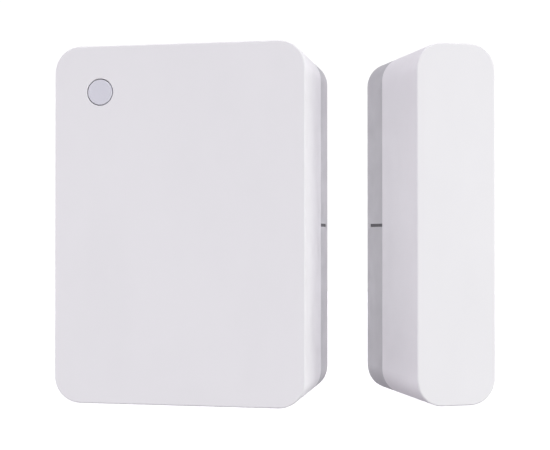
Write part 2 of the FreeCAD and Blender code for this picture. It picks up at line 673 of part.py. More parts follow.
# ---------------------------------------------------------------- magnet half
def magnet_front_shell():
    """The shell, with a stop across its floor above and below the cradle."""
    span = MAGNET_WIDTH - 2 * MAGNET_WALL + OVERLAP
    stop_z = BAR_Z / 2 + CRADLE_WALL + SLIDE_GAP + CRADLE_WALL / 2
    stops = [
        centred(MAGNET_X, z, span, CRADLE_WALL, SHELL_FLOOR_Y - OVERLAP, SHELL_FLOOR_Y + CRADLE_STOP)
        for z in (-stop_z, stop_z)
    ]
    shell = joined([shell_body(MAGNET_WIDTH, MAGNET_WALL, MAGNET_X), *stops])
    channels = [snap_channel(MAGNET_WIDTH, MAGNET_WALL, MAGNET_X, side, z) for side, z in MAGNET_ARMS]
    return cut_all(shell, channels)


def magnet_rear_cover():
    """The cover, with two ribs that hold the foam block against the bar magnet."""
    ribs = [
        floor_rib(MAGNET_WIDTH, MAGNET_WALL, MAGNET_X, z, MAGNET_RIB_T, MAGNET_RIB_REACH)
        for z in MAGNET_RIB_Z
    ]
    arms = [snap_arm(MAGNET_WIDTH, MAGNET_WALL, MAGNET_X, side, z) for side, z in MAGNET_ARMS]
    cover = joined([cover_body(MAGNET_WIDTH, MAGNET_WALL, MAGNET_X, -1), *ribs, *arms])
    marks = [ejector_mark(MAGNET_X, z) for z in MAGNET_EJECTOR_Z]
    return cut_all(cover, [pad_recess(x=MAGNET_X, **MAGNET_PAD), *marks])


def magnet_cradle():
    """A trough that holds the bar magnet against the shell's front, with grips over its rear edges."""
    width, height = BAR_X + 2 * CRADLE_WALL, BAR_Z + 2 * CRADLE_WALL
    rear_y = BAR_REAR_Y + CRADLE_GRIP_T
    trough = centred(MAGNET_X, 0.0, width, height, SHELL_FLOOR_Y, rear_y)
    room = centred(MAGNET_X, 0.0, BAR_X, BAR_Z, BAR_FRONT_Y, BAR_REAR_Y)
    mouth = centred(MAGNET_X, 0.0, BAR_X - 2 * CRADLE_GRIP, BAR_Z, BAR_FRONT_Y, rear_y)
    windows = [
        centred(MAGNET_X, z, width, CRADLE_WINDOW, BAR_FRONT_Y + CRADLE_WINDOW_SILL, rear_y)
        for z in CRADLE_WINDOW_Z
    ]
    return cut_all(trough, [room, mouth, *windows])


def bar_magnet():
    bar = centred(MAGNET_X, 0.0, BAR_X, BAR_Z, BAR_FRONT_Y, BAR_REAR_Y)
    return bar.makeFillet(BAR_EDGE_R, bar.Edges)


def magnet_foam_block():
    """A foam block between the bar magnet and the cover's ribs that stops it rattling."""
    return centred(MAGNET_X, 0.0, FOAM_WIDTH, FOAM_HEIGHT, BAR_REAR_Y, COVER_FLOOR_Y - MAGNET_RIB_REACH)


# ---------------------------------------------------------------- nodes
FRAME_NODES = {
    "sensor_rear_cover": sensor_rear_cover,
    "sensor_adhesive_pad": lambda: pad(**SENSOR_PAD),
    "sensor_alignment_mark": lambda: side_strip(SENSOR_WIDTH, 0.0, 1, MARK_FILL),
    "sensor_front_shell": sensor_front_shell,
    "main_pcb": main_pcb,
    "radio_chip": lambda: rear_chip(*RADIO_CHIP),
    "crystal": crystal,
    "antenna_trace": antenna_trace,
    "status_led_base": status_led_base,
    "status_led_lens": status_led_lens,
    "battery_holder": battery_holder,
    "battery_contact_positive": battery_contact_positive,
    "battery_contact_negative": battery_contact_negative,
    "tact_switch_base": tact_switch_base,
    "tact_switch_cover": tact_switch_cover,
    "tact_switch_dome": tact_switch_dome,
    "tact_switch_plunger": tact_switch_plunger,
    "button_cap": button_cap,
    "coin_cell_can": coin_cell_can,
    "coin_cell_gasket": coin_cell_gasket,
    "coin_cell_cap": coin_cell_cap,
    "reed_glass": reed_glass,
    "reed_lead_upper": lambda: reed_lead(1, SEAL_Z),
    "reed_lead_lower": reed_lead_lower,
    "reed_blade_moving": reed_blade_moving,
}

DOOR_NODES = {
    "magnet_rear_cover": magnet_rear_cover,
    "magnet_adhesive_pad": lambda: pad(x=MAGNET_X, **MAGNET_PAD),
    "magnet_alignment_mark": lambda: side_strip(MAGNET_WIDTH, MAGNET_X, -1, MARK_FILL),
    "magnet_front_shell": magnet_front_shell,
    "magnet_cradle": magnet_cradle,
    "bar_magnet": bar_magnet,
    "magnet_foam_block": magnet_foam_block,
}


def repeated_components():
    """The screws, capacitors and resistors, each as a node of its own."""
    made = {f"pcb_screw_{name}": pcb_screw(x, z) for name, (x, z) in SCREWS.items()}
    made.update({f"capacitor_{i}": rear_chip(*size) for i, size in enumerate(CAPACITORS, 1)})
    made.update({f"resistor_{i}": rear_chip(*size) for i, size in enumerate(RESISTORS, 1)})
    return made


def main():
    os.makedirs("parts", exist_ok=True)
    made = {name: make() for name, make in FRAME_NODES.items()}
    made.update(repeated_components())
    made.update({name: on_door(make()) for name, make in DOOR_NODES.items()})
    for name, shape in made.items():
        shape.exportStep(f"parts/{name}.step")
        print(f"{name}: {len(shape.Solids)} solid(s), {shape.Volume:.2f} mm3, valid {shape.isValid()}")


main()
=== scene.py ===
"""The door contact sensor's looks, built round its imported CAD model.

Lengths are millimetres and MM turns them into the frame's metres. The front faces look along -Y and +Z is
up. The board's rear side looks towards the wall, along +Y, and carries nearly every component; its front
side carries the button's switch and the light.
"""

import json
from math import copysign, cos, hypot, pi, radians, sin, sqrt

import bmesh
import bpy
from mathutils import Matrix, Vector, noise


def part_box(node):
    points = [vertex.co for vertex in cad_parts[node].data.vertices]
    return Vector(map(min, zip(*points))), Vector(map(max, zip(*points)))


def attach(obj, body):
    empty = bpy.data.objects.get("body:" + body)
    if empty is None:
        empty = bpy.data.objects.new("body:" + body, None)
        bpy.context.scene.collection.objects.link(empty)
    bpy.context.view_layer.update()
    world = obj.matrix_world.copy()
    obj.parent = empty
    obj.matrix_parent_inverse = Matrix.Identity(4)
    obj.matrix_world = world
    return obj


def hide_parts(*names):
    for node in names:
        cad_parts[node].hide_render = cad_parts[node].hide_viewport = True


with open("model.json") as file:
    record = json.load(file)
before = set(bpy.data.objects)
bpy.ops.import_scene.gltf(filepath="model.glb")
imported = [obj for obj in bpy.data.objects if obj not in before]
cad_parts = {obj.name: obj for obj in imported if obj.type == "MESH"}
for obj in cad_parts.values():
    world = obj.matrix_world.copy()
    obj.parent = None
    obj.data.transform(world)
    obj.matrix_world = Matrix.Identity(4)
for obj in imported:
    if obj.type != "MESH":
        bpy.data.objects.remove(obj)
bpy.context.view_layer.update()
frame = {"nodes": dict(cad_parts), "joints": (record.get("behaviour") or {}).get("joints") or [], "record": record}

MM = 0.001
HOUSING = "sensor_housing"
SCENE = bpy.context.scene

# ---------------- dimensions: camera, light and floor
CAMERA_PLACE = (40.914, -164.911, -1.746)
CAMERA_LENS = 75.48
CAMERA_SENSOR = 36.0
CAMERA_PITCH_DEG = 90.63
CAMERA_TURN_DEG = 10.984
CAMERA_NEAREST = 10.0

FLOOR_Z = -150.0
FLOOR_HALF = 3000.0
FLOOR_COLOUR = (0.92, 0.92, 0.92)
FLOOR_GLOW = 0.3
FLOOR_ROUGHNESS = 0.9
FLOOR_PATCH = 400.0
FLOOR_PATCH_TONE = 0.98

BACKDROP = (1.05, 1.05, 1.05)
DOME_LEFT = (2.08, 2.01, 2.11)
DOME_RIGHT = (1.88, 1.95, 1.88)
DOME_BACK = (1.99, 1.91, 2.06)
DOME_BACK_BLEND = (0.35, 0.7)
DOME_SIDE_BLEND = (-0.4, 0.4)
DOME_LAYERS = (
    {"colour": (0.22, 0.2, 0.25), "start": 0.1, "end": 0.4},
    {"colour": (2.93, 2.91, 2.94), "start": 0.75, "end": 1.0},
    {"colour": (0.35, 0.32, 0.37), "start": -0.1, "end": -0.4},
    {"colour": (0.02, 0.02, 0.02), "start": -0.65, "end": -0.95},
)

KEY_LIGHT = {"place": (510.0, -72.0, 72.0), "size": 260.0, "power": 0.7, "colour": (1.0, 1.0, 0.96)}

# ---------------- shapes and patterns in general
# Each rounding is the radius of a slab's corners and then that of its rims.
MIX_COLOUR_INPUTS = (6, 7)
MIX_COLOUR_OUTPUT = 2
WAVE_PITCH = 0.314
BEVEL_SAMPLES = 4
EDGE_COSINES = (0.8, 0.99)
SHARP_DEG = 38.0
SMALL_RIM_STEPS = 2
SMALLEST_CORNER_SHARE = 0.2
LONGEST_DIAGONAL = 0.9
OVERLAP = 0.02
FILLET_FULLNESS = 1.04
FILLET_FOOT = 0.01
CONE_TIP_SHARE = 0.3
CONE_TIP_RISE = 1.04
ROUND_STEPS = {"via": 16, "dot": 20, "peg": 20, "pad": 24, "pad ring": 28, "screw ring": 48, "cell ring": 96}

# ---------------- dimensions: circuit board
COPPER_RISE = 0.02
TRACK_RISE = 0.045
PRINT_RISE = 0.066
PAD_RISE = 0.072
LAYER_STEP = 0.0004
GAP_RISE = 0.004

PLANE_INSET = 0.5
PLANE_ROUNDING = (1.0, 0.006)
ANTENNA_CLEARANCE = 0.35
ANTENNA_HALF_LINE = 0.25

TRACK_WIDTH = 0.28
POWER_WIDTH = 0.8
TRACK_GAP = 0.2
TRACK_SLOPE = 0.08
CRYSTAL_TRACK_STEP = 0.6
UPPER_TRACK_LIFT = 0.9
EDGE_TRACK_INSET = 0.95
EDGE_TRACK_RISE = 1.4
EDGE_TRACK_TOP_Z = 4.6
CROSS_TRACK_Z = 5.7
CROSS_TRACK_RIGHT_X = 12.6
CROSS_TRACK_LEFT_X = 7.9
POWER_FOOT_INSET = 0.9
POWER_BEND_DROP = 1.0
POWER_BEND_RISE = 3.0
POWER_EDGE_INSET = 1.5
POWER_TOP_Z = 14.0
TEST_TRACK_ENDS = {"first": -4.0, "step": 1.4, "count": 7}
TEST_TRACK_REACH = 0.6

TEST_PAD_ROW = {"first": -6.0, "step": 2.0, "count": 7}
TEST_PAD_Z = 1.4
TEST_PAD_RADIUS = 0.5
TEST_PAD_TAPER = 0.03
SIDE_PAD_COUNT = 3
SIDE_PAD_X = 10.6
UPPER_FIDUCIAL_INSET = 1.5
LOWER_FIDUCIAL_INSET = 1.3
LOWER_FIDUCIAL_Z = -12.6
SCREW_LAND = {"radius": 1.7, "width": 1.1, "slope": 0.02, "steps": 36}
LEAD_LAND = {"radius": 0.55, "width": 0.36, "slope": 0.05, "steps": 24}
PAD_LENGTH = 0.68
PAD_SPARE = 0.16
PAD_SHIFT = 0.1
PAD_ROUNDING = (0.06, 0.01)

VIA_RADIUS = 0.28
VIA_HOLE = 0.13
VIA_HOLE_TAPER = 0.9
VIA_SLOPE = 0.15
VIA_INSET = 0.95
VIA_CLEARANCE = 2.6
SIDE_VIAS = {"first": 1.6, "step": 3.6, "count": 9}
FOOT_VIAS = {"first": -10.6, "step": 1.1, "count": 6}
FOOT_VIA_LIFT = 0.1
FOOT_VIA_STAGGER = 0.25
CHIP_VIAS = {"first": 1.0, "step": 0.8, "count": 2}
CHIP_VIA_X = 3.6
CRYSTAL_VIAS = {"first": -0.8, "step": 0.8, "count": 3}
CRYSTAL_VIA_DROP = 0.8

PRINT_LINE = 0.13
PRINT_SLOPE = 0.06
PRINT_GAP = 0.42
PRINT_SIDE_GAP = 0.2
PRINT_MIDDLE_GAP = 0.5
PRINT_SHORTENING = 0.05
CHIP_CORNER_ARM = 0.7
CRYSTAL_CORNER_ARM = 0.6
FIRST_LEAD_DOT = {"offset": 0.75, "radius": 0.2, "top_radius": 0.19}
HOLDER_ARC = {"gap": 0.35, "start_deg": 135, "end_deg": 475}
SIGN_ARM = 0.6
PLUS_SIGN = (-2.1, -0.4)
MINUS_SIGN = (-1.6, 0.8)
SIDE_PAD_RING_GAP = 0.2
SCREW_RING_RADIUS = 2.45
TEST_PAD_FRAME = {"spare": 1.7, "height": 1.6, "corner": 0.3}
GLASS_LINE_GAP = 0.35

CHIP_FILLET = {"reach": 0.3, "rise_share": 0.62}
CHIP_LEAD_FILLET = {"width": 0.24, "reach": 0.3, "rise": 0.2, "steps": 4}
CRYSTAL_LEAD_Z = 1.0
CRYSTAL_FILLET = {"width": 0.8, "reach": 0.28, "rise": 0.25}
LEAD_RADIUS = 0.22
LEAD_JOINT_FRONT = {"pad": 0.6, "rise": 0.5}
LEAD_JOINT_REAR = {"pad": 0.5, "rise": 0.22}
POSITIVE_REACH = 12.9
POSITIVE_FILLET = {"width": 3.0, "reach": 0.5, "rise": 0.22, "steps": 8}

# ---------------- dimensions: components
CAPACITOR_COUNT = 7
RESISTOR_COUNT = 5

CHIP_LEADS = 8
CHIP_PITCH = 0.5
CHIP_LEAD_SIZE = (0.1, 0.24)
CHIP_LEAD_RISE = 0.22
CHIP_LEAD_INSET = 0.03
CHIP_LEAD_ROUNDING = (0.02, 0.01)
CHIP_ROUNDING = (0.12, 0.06)
CHIP_DOT = {"offset": 0.75, "radius": 0.3, "top_radius": 0.27, "shoulder": 0.002, "rise": 0.005}

BODY_SKIN = 0.035
BODY_CORNER = 0.05
BODY_EDGE = 0.04
END_SHARE = 0.22
END_ROUNDING = (0.06, 0.05)
GLAZE_HALF_THICKNESS = 0.03
GLAZE_INSET = 0.06
GLAZE_EDGE = 0.015

LID_INSET = 0.5
LID_CORNER = 0.25
LID_RIM_WIDTH = 0.14
LID_RIM_RISE = 0.03
LID_RIM_SLOPE = 0.2

LIGHT_END_INSET = 0.1
LIGHT_END_LENGTH = 0.26
LIGHT_END_SPARE = 0.04
LIGHT_END_ROUNDING = (0.04, 0.02)
LIGHT_FILLET_OFFSET = 0.03
LIGHT_FILLET = {"width": 0.7, "reach": 0.3, "rise": 0.22}
DIE_SIZE = (0.5, 0.4)
DIE_THICKNESS = 0.12
DIE_ROUNDING = (0.06, 0.03)

FOOT_X = 0.2
FOOT_Z = 2.0
FOOT_SIZE = (0.9, 0.6)
FOOT_RISE = 0.18
FOOT_ROUNDING = (0.08, 0.05)
FOOT_END_X = 0.6
FOOT_FILLET = {"width": 0.7, "reach": 0.3, "rise": 0.14}
PEG_PLACE = 1.9
PEG_PROFILE = ((0.34, -0.05), (0.34, 0.03), (0.27, 0.1), (0.12, 0.14))

CELL_MARK_RISE = 0.03
CELL_MARK_STEP = 0.001
CELL_PLUS_Z = 3.6
CELL_PLUS_ARM = 2.6
CELL_PLUS_LINE = 0.75
CELL_RING_RADIUS = 8.9
CELL_RING_LINE = 0.3
CELL_RING_SLOPE = 0.25

# ---------------- dimensions: foam
FILM = 0.07
FILM_STRAIGHT_SHARE = 0.8
FILM_EDGE = 0.01
FILM_ROUND = 0.05
FILM_INNER_INSET = 0.02
TAPE_STEP = 0.3
TAPE_CORNER = {"sensor_foam_tape": 2.4, "magnet_foam_tape": 1.4}
TAPE_CORNER_STEPS = 8
TAPE_ROWS = 7
TAPE_SIDE_INSET = 0.03
TAPE_SQUEEZE = 0.12
TAPE_RAGGED = 0.03
TAPE_GRAIN = 2.4
TAPE_GRAIN_SQUEEZE = 2.5
TAPE_SHARP_DEG = 60.0

BLOCK_STEPS = 44
BLOCK_END_STEPS = 6
BLOCK_END_SHARE = 0.12
BLOCK_ROUND = 0.3
BLOCK_ROUND_LENGTH = 0.45
BLOCK_INSET_X = 0.24
BLOCK_INSET_Y = 0.1
BLOCK_CORNER = 0.35
BLOCK_CORNER_STEPS = 5
BLOCK_POINT_STEP = 0.25
BLOCK_GRAIN = 3.1
BLOCK_FINE_GRAIN = 7.3
FINE_SHARE = 0.5
BLOCK_RAGGED = 0.04
BLOCK_BULGE = 0.1
BLOCK_FLAT_RAGGED = 0.02


def make_camera():
    data = bpy.data.cameras.new("camera")
    data.lens = CAMERA_LENS
    data.sensor_width = CAMERA_SENSOR
    data.clip_start = CAMERA_NEAREST * MM
    camera = bpy.data.objects.new("camera", data)
    camera.location = Vector(CAMERA_PLACE) * MM
    camera.rotation_euler = (radians(CAMERA_PITCH_DEG), 0.0, radians(CAMERA_TURN_DEG))
    SCENE.collection.objects.link(camera)
    SCENE.camera = camera


def make_light(name, place, size, power, colour):
    """A square soft light that looks at the object."""
    data = bpy.data.lights.new(name, "AREA")
    data.size = size * MM
    data.energy = power
    data.color = colour
    light = bpy.data.objects.new(name, data)
    light.location = Vector(place) * MM
    light.rotation_euler = (-light.location).to_track_quat("-Z", "Y").to_euler()
    SCENE.collection.objects.link(light)


def make_dome():
    """A white backdrop, and a studio that lights the object: a bright band all round it, with dimmer layers
    over and under the band, a lit roof and a dark ground."""
    world = bpy.data.worlds.new("studio")
    world.use_nodes = True
    SCENE.world = world
    tree = world.node_tree
    direction = node(tree, "TexCoord").outputs["Generated"]
    parts = node(tree, "SeparateXYZ", {0: direction})
    behind = ranged(tree, parts.outputs["Y"], 0.0, 1.0, *DOME_BACK_BLEND)
    rightwards = ranged(tree, parts.outputs["X"], 0.0, 1.0, *DOME_SIDE_BLEND)
    tones = mixed(tree, behind, mixed(tree, rightwards, DOME_LEFT, DOME_RIGHT), DOME_BACK)
    for layer in DOME_LAYERS:
        share = ranged(tree, parts.outputs["Z"], 0.0, 1.0, layer["start"], layer["end"])
        tones = mixed(tree, share, tones, layer["colour"])
    seen = node(tree, "LightPath").outputs["Is Camera Ray"]
    tree.links.new(mixed(tree, seen, tones, BACKDROP), tree.nodes["Background"].inputs["Color"])


def make_floor():
    """A plain floor that throws no light back at the object."""
    bm = bmesh.new()
    bmesh.ops.create_grid(bm, x_segments=1, y_segments=1, size=FLOOR_HALF)
    bmesh.ops.translate(bm, verts=bm.verts, vec=(0, 0, FLOOR_Z))
    mesh = bpy.data.meshes.new("floor")
    bmesh.ops.scale(bm, verts=bm.verts, vec=(MM, MM, MM))
    bm.to_mesh(mesh)
    bm.free()
    mesh.materials.append(floor_paint())
    floor = bpy.data.objects.new("floor", mesh)
    floor.visible_diffuse = False
    floor.visible_glossy = False
    floor.visible_shadow = False
    SCENE.collection.objects.link(floor)


# ---------------- material nodes
def node(tree, kind, inputs=None, **settings):
    """A shader node with its settings; each input is a constant or another node's socket."""
    made = tree.nodes.new("ShaderNode" + kind)
    for name, value in settings.items():
        setattr(made, name, value)
    for name, value in (inputs or {}).items():
        if isinstance(value, bpy.types.NodeSocket):
            tree.links.new(value, made.inputs[name])
        else:
            made.inputs[name].default_value = value
    return made


def ranged(tree, value, low, high, start=0.0, end=1.0):
    """A value between start and end, moved to between low and high."""
    inputs = {"Value": value, "From Min": start, "From Max": end, "To Min": low, "To Max": high}
    return node(tree, "MapRange", inputs).outputs["Result"]


def mixed(tree, share, first, second):
    """Two colours, each a constant or a socket, mixed by a patterned share from 0 to 1."""
    inputs = {0: share}
    for index, colour in zip(MIX_COLOUR_INPUTS, (first, second)):
        inputs[index] = colour if isinstance(colour, bpy.types.NodeSocket) else (*colour, 1.0)
    return node(tree, "Mix", inputs, data_type="RGBA").outputs[MIX_COLOUR_OUTPUT]


def darker(colour, share):
    return tuple(channel * share for channel in colour)


class Surface:
    """A Principled material under construction, its patterns sized in millimetres in the object's space."""

    def __init__(self, name, colour, roughness, **sockets):
        self.material = bpy.data.materials.new(name)
        self.material.use_nodes = True
        self.tree = self.material.node_tree
        self.shader = self.tree.nodes["Principled BSDF"]
        self.shader.inputs["Base Color"].default_value = (*colour, 1.0)
        self.shader.inputs["Roughness"].default_value = roughness
        for socket, value in sockets.items():
            self.shader.inputs[socket.replace("_", " ")].default_value = value
        place = node(self.tree, "TexCoord")
        self.place = place.outputs["Object"]
        self.facing = node(self.tree, "SeparateXYZ", {0: place.outputs["Normal"]}).outputs["Y"]
        self.plain = self.colour = colour
        self.normal = None

    def stretched(self, stretch):
        inputs = {"Vector": self.place, "Scale": stretch}
        return node(self.tree, "Mapping", inputs).outputs[0]

    def noise(self, size, detail=2.0, stretch=(1, 1, 1)):
        inputs = {"Vector": self.stretched(stretch), "Scale": 1 / (size * MM), "Detail": detail}
        return node(self.tree, "TexNoise", inputs).outputs[0]

    def cells(self, size):
        """The distance from the middle of the nearest cell, in cells."""
        inputs = {"Vector": self.place, "Scale": 1 / (size * MM)}
        return node(self.tree, "TexVoronoi", inputs).outputs["Distance"]

    def waves(self, axis, pitch):
        inputs = {"Vector": self.place, "Scale": WAVE_PITCH / (pitch * MM)}
        return node(self.tree, "TexWave", inputs, bands_direction=axis).outputs[1]

    def maths(self, operation, first, second=0.0):
        return node(self.tree, "Math", {0: first, 1: second}, operation=operation).outputs[0]

    def vectors(self, operation, first, second=(0, 0, 0)):
        return node(self.tree, "VectorMath", {0: first, 1: second}, operation=operation).outputs

    def rings(self, x, z, size, detail=3.0):
        """Noise that is the same all round an axis along Y, as turning and spinning leave it."""
        offset = self.vectors("SUBTRACT", self.place, (x * MM, 0, z * MM))[0]
        flat = self.vectors("MULTIPLY", offset, (1, 0, 1))[0]
        radius = self.vectors("LENGTH", flat)["Value"]
        inputs = {"W": radius, "Scale": 1 / (size * MM), "Detail": detail}
        return node(self.tree, "TexNoise", inputs, noise_dimensions="1D").outputs[0]

    def edges(self, width):
        """1 along sharp edges and 0 on flat faces further than the width from an edge."""
        rounded_normal = node(self.tree, "Bevel", {"Radius": width * MM}, samples=BEVEL_SAMPLES)
        true_normal = node(self.tree, "NewGeometry").outputs["Normal"]
        along = self.vectors("DOT_PRODUCT", rounded_normal.outputs[0], true_normal)["Value"]
        return ranged(self.tree, along, 1.0, 0.0, *EDGE_COSINES)

    def tint(self, share, colour):
        """Moves the colour towards another one by a patterned share."""
        self.colour = mixed(self.tree, share, self.colour, colour)
        self.tree.links.new(self.colour, self.shader.inputs["Base Color"])
        return self

    def shade(self, pattern, tone, low=0.0, high=1.0, start=0.0, end=1.0):
        """Darkens to a tone of the plain colour, by a pattern moved from start and end to low and high."""
        return self.tint(ranged(self.tree, pattern, low, high, start, end), darker(self.plain, tone))

    def rough(self, share, low, high, start=0.3, end=0.7):
        value = ranged(self.tree, share, low, high, start, end)
        self.tree.links.new(value, self.shader.inputs["Roughness"])
        return self

    def bump(self, pattern, height):
        """Raises the surface by up to height, on top of the bumps so far."""
        inputs = {"Height": pattern, "Distance": height * MM, "Strength": 1.0}
        if self.normal is not None:
            inputs["Normal"] = self.normal
        self.normal = node(self.tree, "Bump", inputs).outputs[0]
        self.tree.links.new(self.normal, self.shader.inputs["Normal"])
        return self


# ---------------- finishes
def moulded(name, colour, roughness, grain=0.22, depth=0.004, worn=0.0, **sockets):
    """Spark-eroded plastic: a fine even grain, slow flow marks, and edges rubbed smoother, painted paler both as
    wear and as a painted highlight.
    """
    surface = Surface(name, colour, roughness, **sockets)
    flow = surface.noise(9.0, detail=3.0, stretch=(1, 1, 0.5))
    surface.shade(flow, 0.975, start=0.4, end=0.8)
    uneven = surface.noise(1.6, detail=4.0)
    if worn:
        # Edges painted paler: rubbed wear, and also a painted highlight along the rims.
        edges = surface.edges(0.25)
        pale = tuple(channel + (1 - channel) * worn for channel in colour)
        surface.tint(surface.maths("MULTIPLY", edges, uneven), pale)
        uneven = surface.maths("SUBTRACT", uneven, surface.maths("MULTIPLY", edges, 0.3))
    surface.rough(uneven, roughness - 0.06, roughness + 0.08)
    surface.bump(flow, depth * 4)
    return surface.bump(surface.noise(grain, detail=3.0), depth).material


def inked(name, colour):
    """A matt filling in a groove, slightly sunk and patchy; on a via the same dark finish is painted shade in the
    hole.
    """
    surface = Surface(name, colour, 0.7)
    surface.tint(surface.noise(0.5, detail=4.0), darker(colour, 0.7))
    surface.rough(surface.noise(0.3), 0.55, 0.85)
    return surface.bump(surface.noise(0.12, detail=3.0), 0.01).material


def foamed(name, colour, cell, depth):
    """Cut foam: open cells with painted shade in their hollows and paler walls, in two sizes."""
    surface = Surface(name, colour, 0.9, Specular_IOR_Level=0.25)
    # Each cell is darker towards its middle: painted shade in the hollows.
    for size, tone in ((cell, 0.62), (cell * 2.3, 0.85)):
        surface.shade(surface.cells(size), tone, low=1.0, high=0.0, start=0.15, end=0.6)
        surface.bump(surface.cells(size), depth)
    return surface.shade(surface.noise(6.0), 0.8, high=0.4, start=0.4, end=0.7).material


def adhesive(name, colour):
    """A clear tacky film on foam, faintly dimpled and smeared."""
    surface = Surface(name, colour, 0.3, Coat_Weight=0.4, Coat_Roughness=0.2)
    surface.shade(surface.noise(4.0, detail=3.0), 0.9, high=0.6, start=0.35, end=0.7)
    surface.rough(surface.noise(2.2, detail=4.0, stretch=(1, 1, 0.3)), 0.22, 0.5)
    surface.bump(surface.cells(0.9), 0.012)
    return surface.bump(surface.noise(5.0), 0.03).material


def metal(name, colour, roughness, stretch=(1, 1, 1), grain=0.5, depth=0.0015, tarnish=0.85):
    """Plated or rolled metal, with marks drawn out along its working direction and edges rubbed bright."""
    surface = Surface(name, colour, roughness, Metallic=1.0)
    marks = surface.noise(grain, detail=5.0, stretch=stretch)
    surface.shade(surface.noise(2.4, detail=3.0), tarnish, start=0.4, end=0.75)
    bright = tuple(min(1.0, channel * 1.15) for channel in colour)
    surface.tint(surface.maths("MULTIPLY", surface.edges(0.12), 0.6), bright)
    surface.rough(marks, roughness - 0.08, roughness + 0.14)
    return surface.bump(marks, depth).material


def spun(name, colour, roughness, box):
    """A pressed round metal part: fine rings about its middle, a few handling scuffs, tone changes."""
    surface = Surface(name, colour, roughness, Metallic=1.0)
    rings = surface.rings(box.x, box.z, 0.18)
    surface.shade(surface.noise(5.0, detail=3.0), 0.82, high=0.5, start=0.4, end=0.7)
    surface.shade(surface.noise(0.8, detail=5.0, stretch=(1, 1, 6)), 0.7, start=0.62, end=0.75)
    surface.rough(rings, roughness - 0.06, roughness + 0.12)
    return surface.bump(rings, 0.003).material


def solder_mask(name, colour):
    """Glossy lacquer over glass cloth: the weave shows faintly, and the laminate at the cut edges."""
    surface = Surface(name, colour, 0.3, Coat_Weight=0.25, Coat_Roughness=0.15)
    tree = surface.tree
    surface.shade(surface.noise(5.0, detail=3.0), 0.75, high=0.7, start=0.35, end=0.7)
    weave = surface.maths("MULTIPLY", surface.waves("X", 0.36), surface.waves("Z", 0.4))
    layers = surface.waves("Y", 0.2)
    cut = ranged(tree, surface.maths("ABSOLUTE", surface.facing), 1.0, 0.0, 0.3, 0.6)
    laminate = mixed(tree, layers, (0.42, 0.4, 0.2), (0.27, 0.26, 0.11))
    surface.colour = mixed(tree, cut, surface.colour, laminate)
    tree.links.new(surface.colour, surface.shader.inputs["Base Color"])
    surface.rough(surface.noise(1.2, detail=3.0), 0.24, 0.38)
    surface.bump(weave, 0.004)
    return surface.bump(surface.noise(0.8), 0.003).material


def clear(name, colour, roughness, index):
    """Clear glass or resin with a faint unevenness."""
    surface = Surface(name, colour, roughness, Transmission_Weight=0.95, IOR=index)
    surface.shade(surface.noise(1.5), 0.92, high=0.6)
    surface.rough(surface.noise(0.7), roughness * 0.6, roughness * 1.8)
    return surface.bump(surface.noise(1.4), 0.004).material


def painted(name, colour):
    """Screen-printed ink or glaze on a small part: thin, slightly raised, with soft speckle."""
    surface = Surface(name, colour, 0.55)
    surface.shade(surface.noise(0.15, detail=3.0), 0.8, start=0.5, end=0.8)
    surface.rough(surface.noise(0.25), 0.4, 0.7)
    return surface.bump(surface.noise(0.1, detail=3.0), 0.003).material


def ceramic(name, colour):
    """Fired ceramic with a fine even speckle."""
    surface = Surface(name, colour, 0.5)
    surface.shade(surface.cells(0.09), 0.7, low=0.5, high=0.0, start=0.1, end=0.7)
    surface.rough(surface.noise(0.3, detail=3.0), 0.38, 0.62)
    return surface.bump(surface.noise(0.08, detail=3.0), 0.002).material


